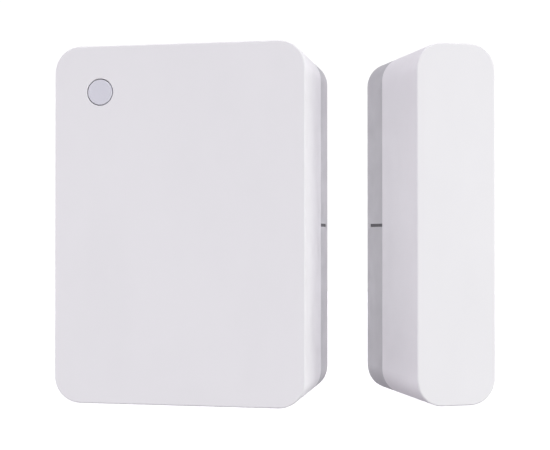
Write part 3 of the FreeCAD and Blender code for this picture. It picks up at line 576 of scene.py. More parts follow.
def make_finishes():
    """One finish for each of the record's material slots, and one for each detail that has no slot."""
    finishes = {}

    def add(make, name, *values, **settings):
        finishes[name] = make(name, *values, **settings)

    add(moulded, "shell_plastic", (0.818, 0.811, 0.826), 0.42, worn=0.3)
    add(moulded, "cover_plastic", (0.505, 0.507, 0.52), 0.46, grain=0.28, worn=0.15)
    add(inked, "mark_ink", (0.13, 0.13, 0.14))
    add(foamed, "foam", (0.74, 0.74, 0.73), 0.16, 0.03)
    add(solder_mask, "board", (0.016, 0.13, 0.055))
    add(metal, "screw_steel", (0.62, 0.62, 0.64), 0.32, grain=0.25, depth=0.003)
    add(moulded, "chip_body", (0.028, 0.028, 0.031), 0.58, grain=0.07, depth=0.003, worn=0.12)
    add(ceramic, "capacitor_body", (0.42, 0.29, 0.18))
    add(painted, "resistor_body", (0.02, 0.02, 0.025))
    add(metal, "copper", (0.83, 0.6, 0.33), 0.3, grain=0.3, depth=0.001)
    add(ceramic, "led_base", (0.82, 0.82, 0.8))
    add(clear, "led_lens", (0.95, 0.93, 0.82), 0.06, 1.5)
    add(moulded, "holder_plastic", (0.03, 0.03, 0.033), 0.48, grain=0.2, worn=0.2)
    add(metal, "contact_steel", (0.75, 0.74, 0.7), 0.3, stretch=(6, 1, 6), depth=0.002)
    add(moulded, "switch_plastic", (0.03, 0.03, 0.034), 0.5, grain=0.15, worn=0.15)
    add(moulded, "plunger_plastic", (0.72, 0.71, 0.66), 0.45, grain=0.15)
    add(
        moulded,
        "button_plastic",
        (0.68, 0.68, 0.74),
        0.36,
        grain=0.3,
        depth=0.002,
        worn=0.3,
        Subsurface_Weight=0.3,
        Subsurface_Radius=(1.0, 1.0, 1.0),
        Subsurface_Scale=0.5 * MM,
    )
    add(spun, "can_steel", (0.72, 0.72, 0.71), 0.3, Box("coin_cell_can"))
    add(moulded, "gasket", (0.5, 0.5, 0.45), 0.4, grain=0.3, depth=0.002)
    add(clear, "clear_glass", (0.86, 0.95, 0.9), 0.04, 1.5)
    add(metal, "reed_metal", (0.7, 0.68, 0.62), 0.28, stretch=(1, 1, 0.12), grain=0.2)
    add(moulded, "cradle_plastic", (0.76, 0.76, 0.73), 0.5, grain=0.3, worn=0.2)
    add(metal, "magnet_plating", (0.78, 0.78, 0.79), 0.16, grain=1.1, depth=0.004, tarnish=0.92)
    add(foamed, "dark_foam", (0.055, 0.055, 0.06), 0.3, 0.06)
    add(adhesive, "adhesive", (0.72, 0.72, 0.68))
    add(solder_mask, "mask_on_copper", (0.03, 0.25, 0.1))
    add(metal, "solder", (0.66, 0.66, 0.67), 0.24, grain=0.4, depth=0.006, tarnish=0.75)
    add(painted, "board_print", (0.8, 0.8, 0.78))
    # Painted shade in the vias' holes.
    add(inked, "via_hole", (0.02, 0.03, 0.02))
    add(painted, "etched_resin", (0.16, 0.16, 0.17))
    add(metal, "etched_steel", (0.4, 0.4, 0.4), 0.5, grain=0.12, depth=0.004)
    add(ceramic, "alumina", (0.75, 0.75, 0.72))
    add(foamed, "phosphor", (0.85, 0.62, 0.08), 0.05, 0.004)
    return finishes


def paint_cad_nodes():
    slots = {part["node"]: part["material_slot"] for part in frame["record"]["subparts"]}
    for name, obj in frame["nodes"].items():
        obj.data.materials.clear()
        obj.data.materials.append(FINISHES[slots[name]])


# ---------------- node boxes
DOOR_JOINT = next(j for j in frame["joints"] if j["name"] == "door_leaf_swing")
HINGE = Matrix.Translation(Vector(DOOR_JOINT["pos_m"]) / MM)
DOOR_TURN = HINGE @ Matrix.Rotation(-radians(DOOR_JOINT["range_deg"][0]), 4, "Z") @ HINGE.inverted()


class Box:
    """A CAD node's corners, middle and size in millimetres, on the magnet half as on the closed door."""

    def __init__(self, name, on_door=False):
        low, high = (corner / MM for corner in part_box(name))
        if on_door:
            back = DOOR_TURN.inverted()
            points = [back @ (v.co / MM) for v in frame["nodes"][name].data.vertices]
            low = Vector(min(p[i] for p in points) for i in range(3))
            high = Vector(max(p[i] for p in points) for i in range(3))
        self.low, self.high = low, high
        self.middle = (low + high) / 2
        self.size = high - low
        self.x, self.z = self.middle.x, self.middle.z


# ---------------- mesh building
CORNERS = [(sx, sz) for sx in (1, -1) for sz in (1, -1)]


def quarter_turns(steps):
    """Angles from 0 to a right angle."""
    return [radians(90 * i / steps) for i in range(steps + 1)]


def circle(x, z, radius, steps=32):
    turn = 2 * pi / steps
    return [(x + radius * cos(i * turn), z + radius * sin(i * turn)) for i in range(steps)]


def rounded(x, z, width, height, corner, steps=4):
    """Points round a rectangle with rounded corners."""
    points = []
    for sx, sz, start in ((1, 1, 0), (-1, 1, 90), (-1, -1, 180), (1, -1, 270)):
        for i in range(steps + 1):
            angle = radians(start + 90 * i / steps)
            px = x + sx * (width / 2 - corner) + corner * cos(angle)
            pz = z + sz * (height / 2 - corner) + corner * sin(angle)
            points.append((px, pz))
    return points


def spread(start, row):
    """Evenly spaced places along a row that begins some way from its start."""
    return [start + row["first"] + row["step"] * i for i in range(row["count"])]


def arc(x, z, radius, start_deg, end_deg, steps=72):
    turns = [radians(start_deg + (end_deg - start_deg) * i / steps) for i in range(steps + 1)]
    return [(x + radius * cos(t), z + radius * sin(t)) for t in turns]


def dogleg(start, end, upright=False):
    """A board track's path: straight out of both ends, with one diagonal run halfway."""
    (x0, z0), (x1, z1) = (start[::-1], end[::-1]) if upright else (start, end)
    middle = (x0 + x1) / 2
    half = copysign(min(abs(z1 - z0), LONGEST_DIAGONAL * abs(x1 - x0)) / 2, x1 - x0)
    path = [(x0, z0), (middle - half, z0), (middle + half, z1), (x1, z1)]
    return [p[::-1] for p in path] if upright else path


class Build:
    """A mesh under construction in millimetres, made of closed parts that each have a material index."""

    def __init__(self):
        self.bm = bmesh.new()
        self.index = 0

    def loft(self, rings, looped=False):
        """A skin over rings with as many points each: capped at both ends, or looped back to the first."""
        rows = [[self.bm.verts.new(p) for p in ring] for ring in rings]
        pairs = list(zip(rows, rows[1:] + rows[:1])) if looped else list(zip(rows, rows[1:]))
        faces = []
        for first, second in pairs:
            for i in range(len(first)):
                k = (i + 1) % len(first)
                faces.append(self.bm.faces.new((first[i], first[k], second[k], second[i])))
        if not looped:
            faces.append(self.bm.faces.new(rows[0][::-1]))
            faces.append(self.bm.faces.new(rows[-1]))
        for face in faces:
            face.material_index = self.index

    def slab(self, x, z, width, height, y0, y1, corner, edge, steps=3):
        """A rounded rectangle from y0 to y1, with its far and near rims rounded too."""
        sign = copysign(1, y1 - y0)
        rims = [(edge * (1 - sin(t)), edge * (1 - cos(t))) for t in quarter_turns(steps)]
        levels = [(inset, y0 + sign * lift) for inset, lift in rims]
        levels += [(inset, y1 - sign * lift) for inset, lift in rims[::-1]]
        rings = []
        for inset, y in levels:
            radius = max(corner - inset, SMALLEST_CORNER_SHARE * corner)
            points = rounded(x, z, width - 2 * inset, height - 2 * inset, radius)
            rings.append([(px, y, pz) for px, pz in points])
        self.loft(rings)

    def end_slab(self, end, shift, length, width, *levels_and_rounding):
        """A slab at a part's end, its length and its shift along the direction that the end faces."""
        (x, z), (dx, dz) = end
        size = (length, width) if dx else (width, length)
        self.slab(x + dx * shift, z + dz * shift, *size, *levels_and_rounding)

    def lathe(self, x, z, profile, steps=32):
        """A solid of revolution round an axis along Y: the profile is a list of radius and y."""
        self.loft([[(px, y, pz) for px, pz in circle(x, z, radius, steps)] for radius, y in profile])

    def strip(self, path, width, y0, y1, looped=False, slope=0.0):
        """A flat strip along a path of (x, z) points with mitred corners, its top narrowed by the slope."""
        rings = []
        count = len(path)
        for i, (x, z) in enumerate(path):
            before = path[i - 1] if i or looped else None
            after = path[(i + 1) % count] if i < count - 1 or looped else None
            sides = []
            for a, b in ((before, (x, z)), ((x, z), after)):
                if a and b:
                    run = hypot(b[0] - a[0], b[1] - a[1])
                    sides.append((-(b[1] - a[1]) / run, (b[0] - a[0]) / run))
            nx, nz = (sum(parts) for parts in zip(*sides))
            reach = 1 / (nx * sides[0][0] + nz * sides[0][1])
            ring = []
            for share, y in ((-0.5, y0), (0.5, y0), (0.5 - slope, y1), (-0.5 + slope, y1)):
                ring.append((x + nx * reach * share * width, y, z + nz * reach * share * width))
            rings.append(ring)
        self.loft(rings, looped)

    def fillet(self, place, towards, width, reach, rise, y0, side=1, steps=6):
        """A concave solder fillet on a board: from a part's end outwards, as wide as its pad."""
        (x, z), (tx, tz) = place, towards
        rings = []
        for i in range(steps + 1):
            across = 2 * i / steps - 1
            swell = sqrt(FILLET_FULLNESS - across**4)
            section = [(-OVERLAP, 0.0)]
            for turn in quarter_turns(steps):
                up = rise * swell * (1 - cos(turn)) + FILLET_FOOT
                section.append((reach * swell * (1 - sin(turn)), up))
            section.append((-OVERLAP, rise * swell + FILLET_FOOT))
            px, pz = x - tz * across * width / 2, z + tx * across * width / 2
            rings.append([(px + tx * out, y0 + side * up, pz + tz * out) for out, up in section])
        self.loft(rings)

    def cone(self, x, z, lead, pad, rise, y0, side=1, steps=6):
        """A concave solder joint round a wire that comes through the board."""
        profile = [(pad, y0 - side * FILLET_FOOT)]
        for turn in quarter_turns(steps):
            radius = lead + (pad - lead) * (1 - sin(turn))
            profile.append((radius, y0 + side * rise * (1 - cos(turn))))
        profile.append((CONE_TIP_SHARE * lead, y0 + side * rise * CONE_TIP_RISE))
        self.lathe(x, z, profile)

    def done(self, name, finishes, slot=None, replaces=(), body=HOUSING, turn=None, sharp_deg=SHARP_DEG):
        """Makes the piece: in metres, shaded smooth up to the sharp angle, and riding on its body."""
        bmesh.ops.recalc_face_normals(self.bm, faces=self.bm.faces)
        if turn:
            self.bm.transform(turn)
        self.bm.transform(Matrix.Scale(MM, 4))
        mesh = bpy.data.meshes.new(name)
        self.bm.to_mesh(mesh)
        self.bm.free()
        mesh.shade_smooth()
        mesh.set_sharp_from_angle(angle=radians(sharp_deg))
        for finish in finishes:
            mesh.materials.append(FINISHES[finish])
        piece = bpy.data.objects.new(name, mesh)
        SCENE.collection.objects.link(piece)
        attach(piece, body)
        if replaces:
            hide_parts(*replaces)
        return piece


# ---------------- circuit board, rear side
BOARD = Box("main_pcb")
REAR_Y = BOARD.high.y
FRONT_Y = BOARD.low.y
CHIP = Box("radio_chip")
CRYSTAL = Box("crystal")
ANTENNA = Box("antenna_trace")
CAPACITORS = [Box(f"capacitor_{i + 1}") for i in range(CAPACITOR_COUNT)]
RESISTORS = [Box(f"resistor_{i + 1}") for i in range(RESISTOR_COUNT)]
CHIP_CAPACITORS = CAPACITORS[:4]
CRYSTAL_CAPACITORS = CAPACITORS[4:6]
REED_CAPACITOR = CAPACITORS[6]
SCREWS = [Box("pcb_screw_upper"), Box("pcb_screw_lower")]
LEADS = [Box("reed_lead_upper"), Box("reed_lead_lower")]
CELL = Box("coin_cell_can")
HOLDER = Box("battery_holder")
POSITIVE = Box("battery_contact_positive")
LEAD_WIRE = LEADS[0].size.x / 4
LEAD_ENDS = [(LEADS[0].x, LEADS[0].high.z - LEAD_WIRE), (LEADS[1].x, LEADS[1].low.z + LEAD_WIRE)]
TEST_PADS = [(x, BOARD.low.z + TEST_PAD_Z) for x in spread(0.0, TEST_PAD_ROW)]
SIDE_PADS = [(SIDE_PAD_X, resistor.z) for resistor in RESISTORS[-SIDE_PAD_COUNT:]]
FIDUCIALS = [
    (BOARD.low.x + UPPER_FIDUCIAL_INSET, BOARD.high.z - UPPER_FIDUCIAL_INSET),
    (BOARD.high.x - LOWER_FIDUCIAL_INSET, LOWER_FIDUCIAL_Z),
]


def chip_lead(side, i):
    """The middle of a chip's lead on one of its sides, and the direction that it faces."""
    along = (i - (CHIP_LEADS - 1) / 2) * CHIP_PITCH
    half = CHIP.size.x / 2
    x, z = ((half, along), (along, half), (-half, along), (along, -half))[side]
    return (CHIP.x + x, CHIP.z + z), ((1, 0), (0, 1), (-1, 0), (0, -1))[side]


def chip_ends(box):
    """The two ends of a two-ended component, each as a place and the direction that it faces."""
    half_x, half_z = box.size.x / 2, box.size.z / 2
    if half_x > half_z:
        return [((box.x + s * half_x, box.z), (s, 0)) for s in (1, -1)]
    return [((box.x, box.z + s * half_z), (0, s)) for s in (1, -1)]


def reed_tracks():
    """Paths from the reed switch's two leads to the resistors above, round the screw and the side pads."""
    upper, (lower_x, lower_z) = LEAD_ENDS
    first, second = RESISTORS[:2]
    bend = (REED_CAPACITOR.x, REED_CAPACITOR.high.z + UPPER_TRACK_LIFT)
    crossing = (REED_CAPACITOR.x, CROSS_TRACK_Z)
    edge_x = BOARD.high.x - EDGE_TRACK_INSET
    climb = [(lower_x, lower_z), (edge_x, lower_z + EDGE_TRACK_RISE), (edge_x, EDGE_TRACK_TOP_Z)]
    return [
        dogleg(upper, bend),
        [bend, (second.high.x, second.z + UPPER_TRACK_LIFT)],
        [*climb, (CROSS_TRACK_RIGHT_X, CROSS_TRACK_Z), crossing],
        [crossing, (CROSS_TRACK_LEFT_X, CROSS_TRACK_Z), (first.high.x, first.z)],
    ]


def board_tracks():
    """Paths of the signal tracks and of the wide power tracks on the board's rear side."""
    signals, power = [], []
    for i, resistor in enumerate(RESISTORS):
        inner, outer = (resistor.low.x, resistor.z), (resistor.high.x, resistor.z)
        signals.append(dogleg(chip_lead(0, i + 1)[0], inner))
        if resistor in RESISTORS[-SIDE_PAD_COUNT:]:
            signals.append([outer, (SIDE_PAD_X, resistor.z)])
    for i, capacitor in enumerate(CHIP_CAPACITORS):
        signals.append(dogleg(chip_lead(1, 2 * i)[0], (capacitor.x, capacitor.low.z), upright=True))
    for s in (-1, 1):
        end = (CRYSTAL.high.x, CRYSTAL.z + s * CRYSTAL_LEAD_Z)
        signals.append(dogleg(chip_lead(2, CHIP_LEADS // 2 + 2 * s)[0], end))
    for i, capacitor in enumerate(CRYSTAL_CAPACITORS):
        start = (CRYSTAL.low.x, CRYSTAL.z - CRYSTAL_TRACK_STEP * i)
        signals.append(dogleg(start, (capacitor.high.x, capacitor.z)))
    feed = (ANTENNA.low.x + ANTENNA_HALF_LINE, ANTENNA.low.z)
    source = CHIP_CAPACITORS[2]
    signals.append([(source.x, source.high.z), feed])
    signals += reed_tracks()
    foot = POSITIVE.low.x + POWER_FOOT_INSET, POSITIVE.high.z - POWER_FOOT_INSET
    capacitor = CRYSTAL_CAPACITORS[0]
    edge_x = BOARD.low.x + POWER_EDGE_INSET
    power.append([foot, (foot[0], capacitor.z - POWER_BEND_DROP), (capacitor.low.x, capacitor.z)])
    power.append([foot, (edge_x, foot[1] + POWER_BEND_RISE), (edge_x, POWER_TOP_Z)])
    for pad, x in zip(TEST_PADS, spread(CELL.x, TEST_TRACK_ENDS)):
        signals.append(dogleg(pad, (x, HOLDER.low.z + TEST_TRACK_REACH), upright=True))
    return signals, power


def build_board_copper():
    """The copper under the solder mask: a ground plane short of the antenna, and tracks with gaps beside."""
    build = Build()
    top = ANTENNA.low.z - ANTENNA_CLEARANCE
    low = BOARD.low.z + PLANE_INSET
    width = BOARD.size.x - 2 * PLANE_INSET
    rise = REAR_Y + COPPER_RISE
    build.slab(BOARD.x, (low + top) / 2, width, top - low, REAR_Y, rise, *PLANE_ROUNDING)
    signals, power = board_tracks()
    paths = [(path, TRACK_WIDTH) for path in signals] + [(path, POWER_WIDTH) for path in power]
    for order, (path, wide) in enumerate(paths):
        lift = order * LAYER_STEP
        build.index = 1
        build.strip(path, wide + 2 * TRACK_GAP, REAR_Y, rise + GAP_RISE + lift)
        build.index = 0
        build.strip(path, wide, REAR_Y, REAR_Y + TRACK_RISE + lift, slope=TRACK_SLOPE)
    build.done("board_copper", ["mask_on_copper", "board"], "board")


def build_land(build, x, z, y0, y1, land):
    """A flat copper ring round a hole, from y0 to y1."""
    path = circle(x, z, land["radius"], land["steps"])
    build.strip(path, land["width"], y0, y1, True, land["slope"])


def build_board_pads():
    """Bare plated copper: test pads, fiducials, lands of screws and leads, pads under soldered parts."""
    build = Build()
    top = REAR_Y + PAD_RISE
    pad = [(TEST_PAD_RADIUS, REAR_Y), (TEST_PAD_RADIUS - TEST_PAD_TAPER, top)]
    for x, z in TEST_PADS + SIDE_PADS + FIDUCIALS:
        build.lathe(x, z, pad, ROUND_STEPS["pad"])
    for screw in SCREWS:
        build_land(build, screw.x, screw.z, REAR_Y, top, SCREW_LAND)
    for x, z in LEAD_ENDS:
        for y, rise in ((REAR_Y, PAD_RISE), (FRONT_Y, -PAD_RISE)):
            build_land(build, x, z, y, y + rise, LEAD_LAND)
    for box in CAPACITORS + RESISTORS:
        width = min(box.size.x, box.size.z) + PAD_SPARE
        for end in chip_ends(box):
            build.end_slab(end, PAD_SHIFT, PAD_LENGTH, width, REAR_Y, top, *PAD_ROUNDING, SMALL_RIM_STEPS)
    build.done("board_pads", ["copper"], "copper")


def via_places():
    """Where the plated holes are: along the ground plane's edges, over the chip and under the crystal."""
    x_edge, z_edge = BOARD.size.x / 2 - VIA_INSET, BOARD.size.z / 2 - VIA_INSET
    places = [(side * x_edge, z) for z in spread(-z_edge, SIDE_VIAS) for side in (-1, 1)]
    foot_z = -z_edge + FOOT_VIA_LIFT
    places += [(x, foot_z + FOOT_VIA_STAGGER * (i % 2)) for i, x in enumerate(spread(0.0, FOOT_VIAS))]
    places += [(CHIP.x + CHIP_VIA_X, z) for z in spread(CHIP.high.z, CHIP_VIAS)]
    return places + [(x, CRYSTAL.low.z - CRYSTAL_VIA_DROP) for x in spread(CRYSTAL.x, CRYSTAL_VIAS)]


def build_board_vias():
    """Plated holes, each a copper ring round a dark disc of painted shade, left out where a screw, a lead or a
    fiducial is near.
    """
    keep_out = [(screw.x, screw.z) for screw in SCREWS] + LEAD_ENDS + FIDUCIALS
    middle = (VIA_RADIUS + VIA_HOLE) / 2
    hole = [(VIA_HOLE, REAR_Y), (VIA_HOLE * VIA_HOLE_TAPER, REAR_Y + COPPER_RISE + GAP_RISE)]
    build = Build()
    for x, z in via_places():
        if any(hypot(x - kx, z - kz) < VIA_CLEARANCE for kx, kz in keep_out):
            continue
        build.index = 0
        path = circle(x, z, middle, ROUND_STEPS["via"])
        build.strip(path, VIA_RADIUS - VIA_HOLE, REAR_Y, REAR_Y + PAD_RISE, True, VIA_SLOPE)
        # The hole is a dark disc: painted shade where the hole's depth would be.
        build.index = 1
        build.lathe(x, z, hole, ROUND_STEPS["via"])
    build.done("board_vias", ["copper", "via_hole"], "copper")


def component_outlines():
    """Paths of the lines beside the small parts, and of the corners round the chip and the crystal."""
    paths = []
    for box in CAPACITORS + RESISTORS:
        long_x = box.size.x > box.size.z
        half = max(box.size.x, box.size.z) / 2 - PRINT_SHORTENING
        for s in (1, -1):
            if long_x:
                z = box.z + s * (box.size.z / 2 + PRINT_SIDE_GAP)
                paths.append([(box.x - half, z), (box.x + half, z)])
            else:
                x = box.x + s * PRINT_MIDDLE_GAP
                paths.append([(x, box.z - half), (x, box.z + half)])
    for box, arm in ((CHIP, CHIP_CORNER_ARM), (CRYSTAL, CRYSTAL_CORNER_ARM)):
        half_x, half_z = box.size.x / 2 + PRINT_GAP, box.size.z / 2 + PRINT_GAP
        for sx, sz in CORNERS:
            x, z = box.x + sx * half_x, box.z + sz * half_z
            paths.append([(x - sx * arm, z), (x, z), (x, z - sz * arm)])
    return paths


def build_board_print():
    """White printed outlines of the parts, the first lead's dot, the poles' signs and the pads' rings."""
    build = Build()
    top = REAR_Y + PRINT_RISE

    def line(path, looped=False):
        build.strip(path, PRINT_LINE, REAR_Y, top, looped, PRINT_SLOPE)

    for path in component_outlines():
        line(path)
    dot = [(FIRST_LEAD_DOT["radius"], REAR_Y), (FIRST_LEAD_DOT["top_radius"], top)]
    offset = FIRST_LEAD_DOT["offset"]
    build.lathe(CHIP.low.x - offset, CHIP.high.z + offset, dot, ROUND_STEPS["dot"])
    arc_radius = HOLDER.size.x / 2 + HOLDER_ARC["gap"]
    line(arc(CELL.x, CELL.z, arc_radius, HOLDER_ARC["start_deg"], HOLDER_ARC["end_deg"]))
    plus_x, plus_z = POSITIVE.low.x + PLUS_SIGN[0], POSITIVE.high.z + PLUS_SIGN[1]
    line([(plus_x - SIGN_ARM, plus_z), (plus_x + SIGN_ARM, plus_z)])
    upright = [(plus_x, plus_z - SIGN_ARM), (plus_x, plus_z + SIGN_ARM)]
    build.strip(upright, PRINT_LINE, REAR_Y, top + LAYER_STEP, slope=PRINT_SLOPE)
    minus_x, minus_z = HOLDER.high.x + MINUS_SIGN[0], HOLDER.low.z + MINUS_SIGN[1]
    line([(minus_x - SIGN_ARM, minus_z), (minus_x + SIGN_ARM, minus_z)])
    for x, z in SIDE_PADS:
        line(circle(x, z, TEST_PAD_RADIUS + SIDE_PAD_RING_GAP, ROUND_STEPS["pad ring"]), True)
    for screw in SCREWS:
        line(circle(screw.x, screw.z, SCREW_RING_RADIUS, ROUND_STEPS["screw ring"]), True)
    first, last = TEST_PADS[0][0], TEST_PADS[-1][0]
    middle, z = (first + last) / 2, TEST_PADS[0][1]
    width = last - first + TEST_PAD_FRAME["spare"]
    line(rounded(middle, z, width, TEST_PAD_FRAME["height"], TEST_PAD_FRAME["corner"]), True)
    glass = Box("reed_glass")
    for x in (glass.low.x - GLASS_LINE_GAP, glass.high.x + GLASS_LINE_GAP):
        line([(x, -glass.size.z / 2), (x, glass.size.z / 2)])
    build.done("board_print", ["board_print"])


def build_solder():
    """Fillets at every soldered end on both sides of the board."""
    build = Build()
    base = REAR_Y + PAD_RISE
    for box in CAPACITORS + RESISTORS:
        width = min(box.size.x, box.size.z)
        rise = CHIP_FILLET["rise_share"] * box.size.y
        for place, towards in chip_ends(box):
            build.fillet(place, towards, width, CHIP_FILLET["reach"], rise, base)
    for side in range(4):
        for i in range(CHIP_LEADS):
            build.fillet(*chip_lead(side, i), **CHIP_LEAD_FILLET, y0=REAR_Y)
    for sx, sz in CORNERS:
        place = CRYSTAL.x + sx * CRYSTAL.size.x / 2, CRYSTAL.z + sz * CRYSTAL_LEAD_Z
        build.fillet(place, (sx, 0), **CRYSTAL_FILLET, y0=REAR_Y)
    for x, z in LEAD_ENDS:
        build.cone(x, z, LEAD_RADIUS, **LEAD_JOINT_FRONT, y0=FRONT_Y - PAD_RISE, side=-1)
        build.cone(x, z, LEAD_RADIUS, **LEAD_JOINT_REAR, y0=base)
    outwards = Vector((POSITIVE.x - CELL.x, POSITIVE.middle.z - CELL.z)).normalized()
    tip = Vector((CELL.x, CELL.z)) + outwards * POSITIVE_REACH
    build.fillet(tuple(tip), tuple(outwards), **POSITIVE_FILLET, y0=base)
    build.done("board_solder", ["solder"])


# ---------------- components
def build_two_ended(name, body, glaze=None):
    """A capacitor or resistor: a body, plated ends wrapped over it and, on a resistor, a dark glaze."""
    box = Box(name)
    build = Build()
    width, height = box.size.x - 2 * BODY_SKIN, box.size.z - 2 * BODY_SKIN
    top = REAR_Y + box.size.y - BODY_SKIN
    build.slab(box.x, box.z, width, height, REAR_Y + BODY_SKIN, top, BODY_CORNER, BODY_EDGE)
    build.index = 1
    length, across = END_SHARE * max(box.size.x, box.size.z), min(box.size.x, box.size.z)
    for end in chip_ends(box):
        build.end_slab(end, -length / 2, length, across, REAR_Y, REAR_Y + box.size.y, *END_ROUNDING)
    names = [body, "solder"]
    if glaze:
        build.index = 2
        size = (box.size.x * (1 - 2 * END_SHARE), height - GLAZE_INSET)
        levels = (top - GLAZE_HALF_THICKNESS, top + GLAZE_HALF_THICKNESS)
        build.slab(box.x, box.z, *size, *levels, BODY_CORNER, GLAZE_EDGE)
        names.append(glaze)
    build.done(f"{name}_chip", names, glaze or body, [name])


def build_radio_chip():
    """A flat leadless package: rounded edges, plated leads at the foot of each side and a moulded dot."""
    build = Build()
    top = REAR_Y + CHIP.size.y
    size = (CHIP.size.x, CHIP.size.z)
    build.slab(CHIP.x, CHIP.z, *size, REAR_Y + OVERLAP, top, *CHIP_ROUNDING, 4)
    radius = CHIP_DOT["radius"]
    profile = [(radius, top - OVERLAP), (radius, top + CHIP_DOT["shoulder"])]
    profile.append((CHIP_DOT["top_radius"], top + CHIP_DOT["rise"]))
    build.index = 2
    build.lathe(CHIP.low.x + CHIP_DOT["offset"], CHIP.high.z - CHIP_DOT["offset"], profile)
    build.index = 1
    levels = (REAR_Y, REAR_Y + CHIP_LEAD_RISE)
    for side in range(4):
        for i in range(CHIP_LEADS):
            lead = (chip_lead(side, i), -CHIP_LEAD_INSET, *CHIP_LEAD_SIZE)
            build.end_slab(*lead, *levels, *CHIP_LEAD_ROUNDING, SMALL_RIM_STEPS)
    names = ["chip_body", "solder", "etched_resin"]
    build.done("radio_chip_package", names, "chip_body", ["radio_chip"])


def build_crystal_lid():
    """The rim where the crystal's lid is welded on."""
    build = Build()
    top = CRYSTAL.high.y
    width, height = CRYSTAL.size.x - LID_INSET, CRYSTAL.size.z - LID_INSET
    path = rounded(CRYSTAL.x, CRYSTAL.z, width, height, LID_CORNER)
    build.strip(path, LID_RIM_WIDTH, top - OVERLAP, top + LID_RIM_RISE, True, LID_RIM_SLOPE)
    build.done("crystal_lid_rim", ["can_steel"], "can_steel")


def build_status_light():
    """The light's plated ends, and the phosphor over its die inside the clear moulding."""
    base, lens = Box("status_led_base"), Box("status_led_lens")
    build = Build()
    size = (LIGHT_END_LENGTH, base.size.z + LIGHT_END_SPARE)
    levels = (FRONT_Y, base.low.y - OVERLAP)
    for s in (1, -1):
        x = base.x + s * (base.size.x / 2 - LIGHT_END_INSET)
        build.slab(x, base.z, *size, *levels, *LIGHT_END_ROUNDING)
        place = (base.x + s * (base.size.x / 2 + LIGHT_FILLET_OFFSET), base.z)
        build.fillet(place, (s, 0), **LIGHT_FILLET, y0=FRONT_Y, side=-1)
    build.index = 1
    levels = (lens.high.y, lens.high.y - DIE_THICKNESS)
    build.slab(lens.x, lens.z, *DIE_SIZE, *levels, *DIE_ROUNDING)
    build.done("status_led_die", ["solder", "phosphor"], "led_base")


def build_switch_details():
    """The tact switch's four feet and the pegs that hold its cover, melted over into domes."""
    base, cover = Box("tact_switch_base"), Box("tact_switch_cover")
    feet, pegs = Build(), Build()
    levels = (FRONT_Y, FRONT_Y - FOOT_RISE)
    profile = [(radius, cover.low.y - rise) for radius, rise in PEG_PROFILE]
    for sx, sz in CORNERS:
        root = base.x + sx * cover.size.x / 2
        z = base.z + sz * FOOT_Z
        feet.slab(root + sx * FOOT_X, z, *FOOT_SIZE, *levels, *FOOT_ROUNDING)
        feet.index = 1
        feet.fillet((root + sx * FOOT_END_X, z), (sx, 0), **FOOT_FILLET, y0=FRONT_Y, side=-1)
        feet.index = 0
        pegs.lathe(base.x + sx * PEG_PLACE, base.z + sz * PEG_PLACE, profile, ROUND_STEPS["peg"])
    feet.done("tact_switch_feet", ["contact_steel", "solder"], "contact_steel")
    pegs.done("tact_switch_pegs", ["switch_plastic"], "switch_plastic")


def build_cell_marks():
    """Pressed on the cell's flat face: its pole's sign and a raised ring near the rim."""
    build = Build()
    low, top = CELL.high.y - OVERLAP, CELL.high.y + CELL_MARK_RISE
    plus_z = CELL.z + CELL_PLUS_Z
    level = [(CELL.x - CELL_PLUS_ARM, plus_z), (CELL.x + CELL_PLUS_ARM, plus_z)]
    upright = [(CELL.x, plus_z - CELL_PLUS_ARM), (CELL.x, plus_z + CELL_PLUS_ARM)]
    build.strip(level, CELL_PLUS_LINE, low, top)
    build.strip(upright, CELL_PLUS_LINE, low, top + CELL_MARK_STEP)
    ring = circle(CELL.x, CELL.z, CELL_RING_RADIUS, ROUND_STEPS["cell ring"])
    build.strip(ring, CELL_RING_LINE, low, top, True, CELL_RING_SLOPE)
    build.done("coin_cell_marks", ["etched_steel"], "can_steel", body="coin_cell")


# ---------------- foam
def spaced(points, step):
    """A closed path's points, evenly spaced."""
    made = []
    for (x0, z0), (x1, z1) in zip(points, points[1:] + points[:1]):
        pieces = max(1, round(hypot(x1 - x0, z1 - z0) / step))
        made += [(x0 + (x1 - x0) * i / pieces, z0 + (z1 - z0) * i / pieces) for i in range(pieces)]
    return made


def build_foam_tape(name, node_name, body, on_door):
    """A die-cut foam pad between two adhesive films, its cut sides open-celled and squeezed out a little."""
    box = Box(node_name, on_door)
    build = Build()
    x, z, width, height = box.x, box.z, box.size.x, box.size.z
    y0, y1 = box.low.y, box.high.y
    outer = spaced(rounded(x, z, width, height, TAPE_CORNER[name], TAPE_CORNER_STEPS), TAPE_STEP)
    turn = DOOR_TURN if on_door else None

    def ring(inset, y, ragged=0.0):
        points = []
        for px, pz in outer:
            ux, uz = (px - x) / (width / 2), (pz - z) / (height / 2)
            spot = Vector((px, y * TAPE_GRAIN_SQUEEZE, pz)) * TAPE_GRAIN
            bite = inset + ragged * (1 + noise.noise(spot))
            points.append((px - ux * bite, y, pz - uz * bite))
        return points

    straight = FILM * FILM_STRAIGHT_SHARE
    profile = ((FILM_INNER_INSET, FILM), (0.0, straight), (0.0, FILM_EDGE), (FILM_ROUND, 0.0))
    build.loft([ring(inset, y0 + depth) for inset, depth in profile])
    build.loft([ring(inset, y1 - depth) for inset, depth in profile[::-1]])
    build.index = 1
    sides = []
    for i in range(TAPE_ROWS + 1):
        share = i / TAPE_ROWS
        inset = TAPE_SIDE_INSET + TAPE_SQUEEZE * (1 - sin(pi * share))
        sides.append(ring(inset, y0 + FILM + (y1 - y0 - 2 * FILM) * share, TAPE_RAGGED))
    build.loft(sides)
    piece = build.done(name, ["adhesive", "foam"], "foam", [node_name], body, turn, TAPE_SHARP_DEG)


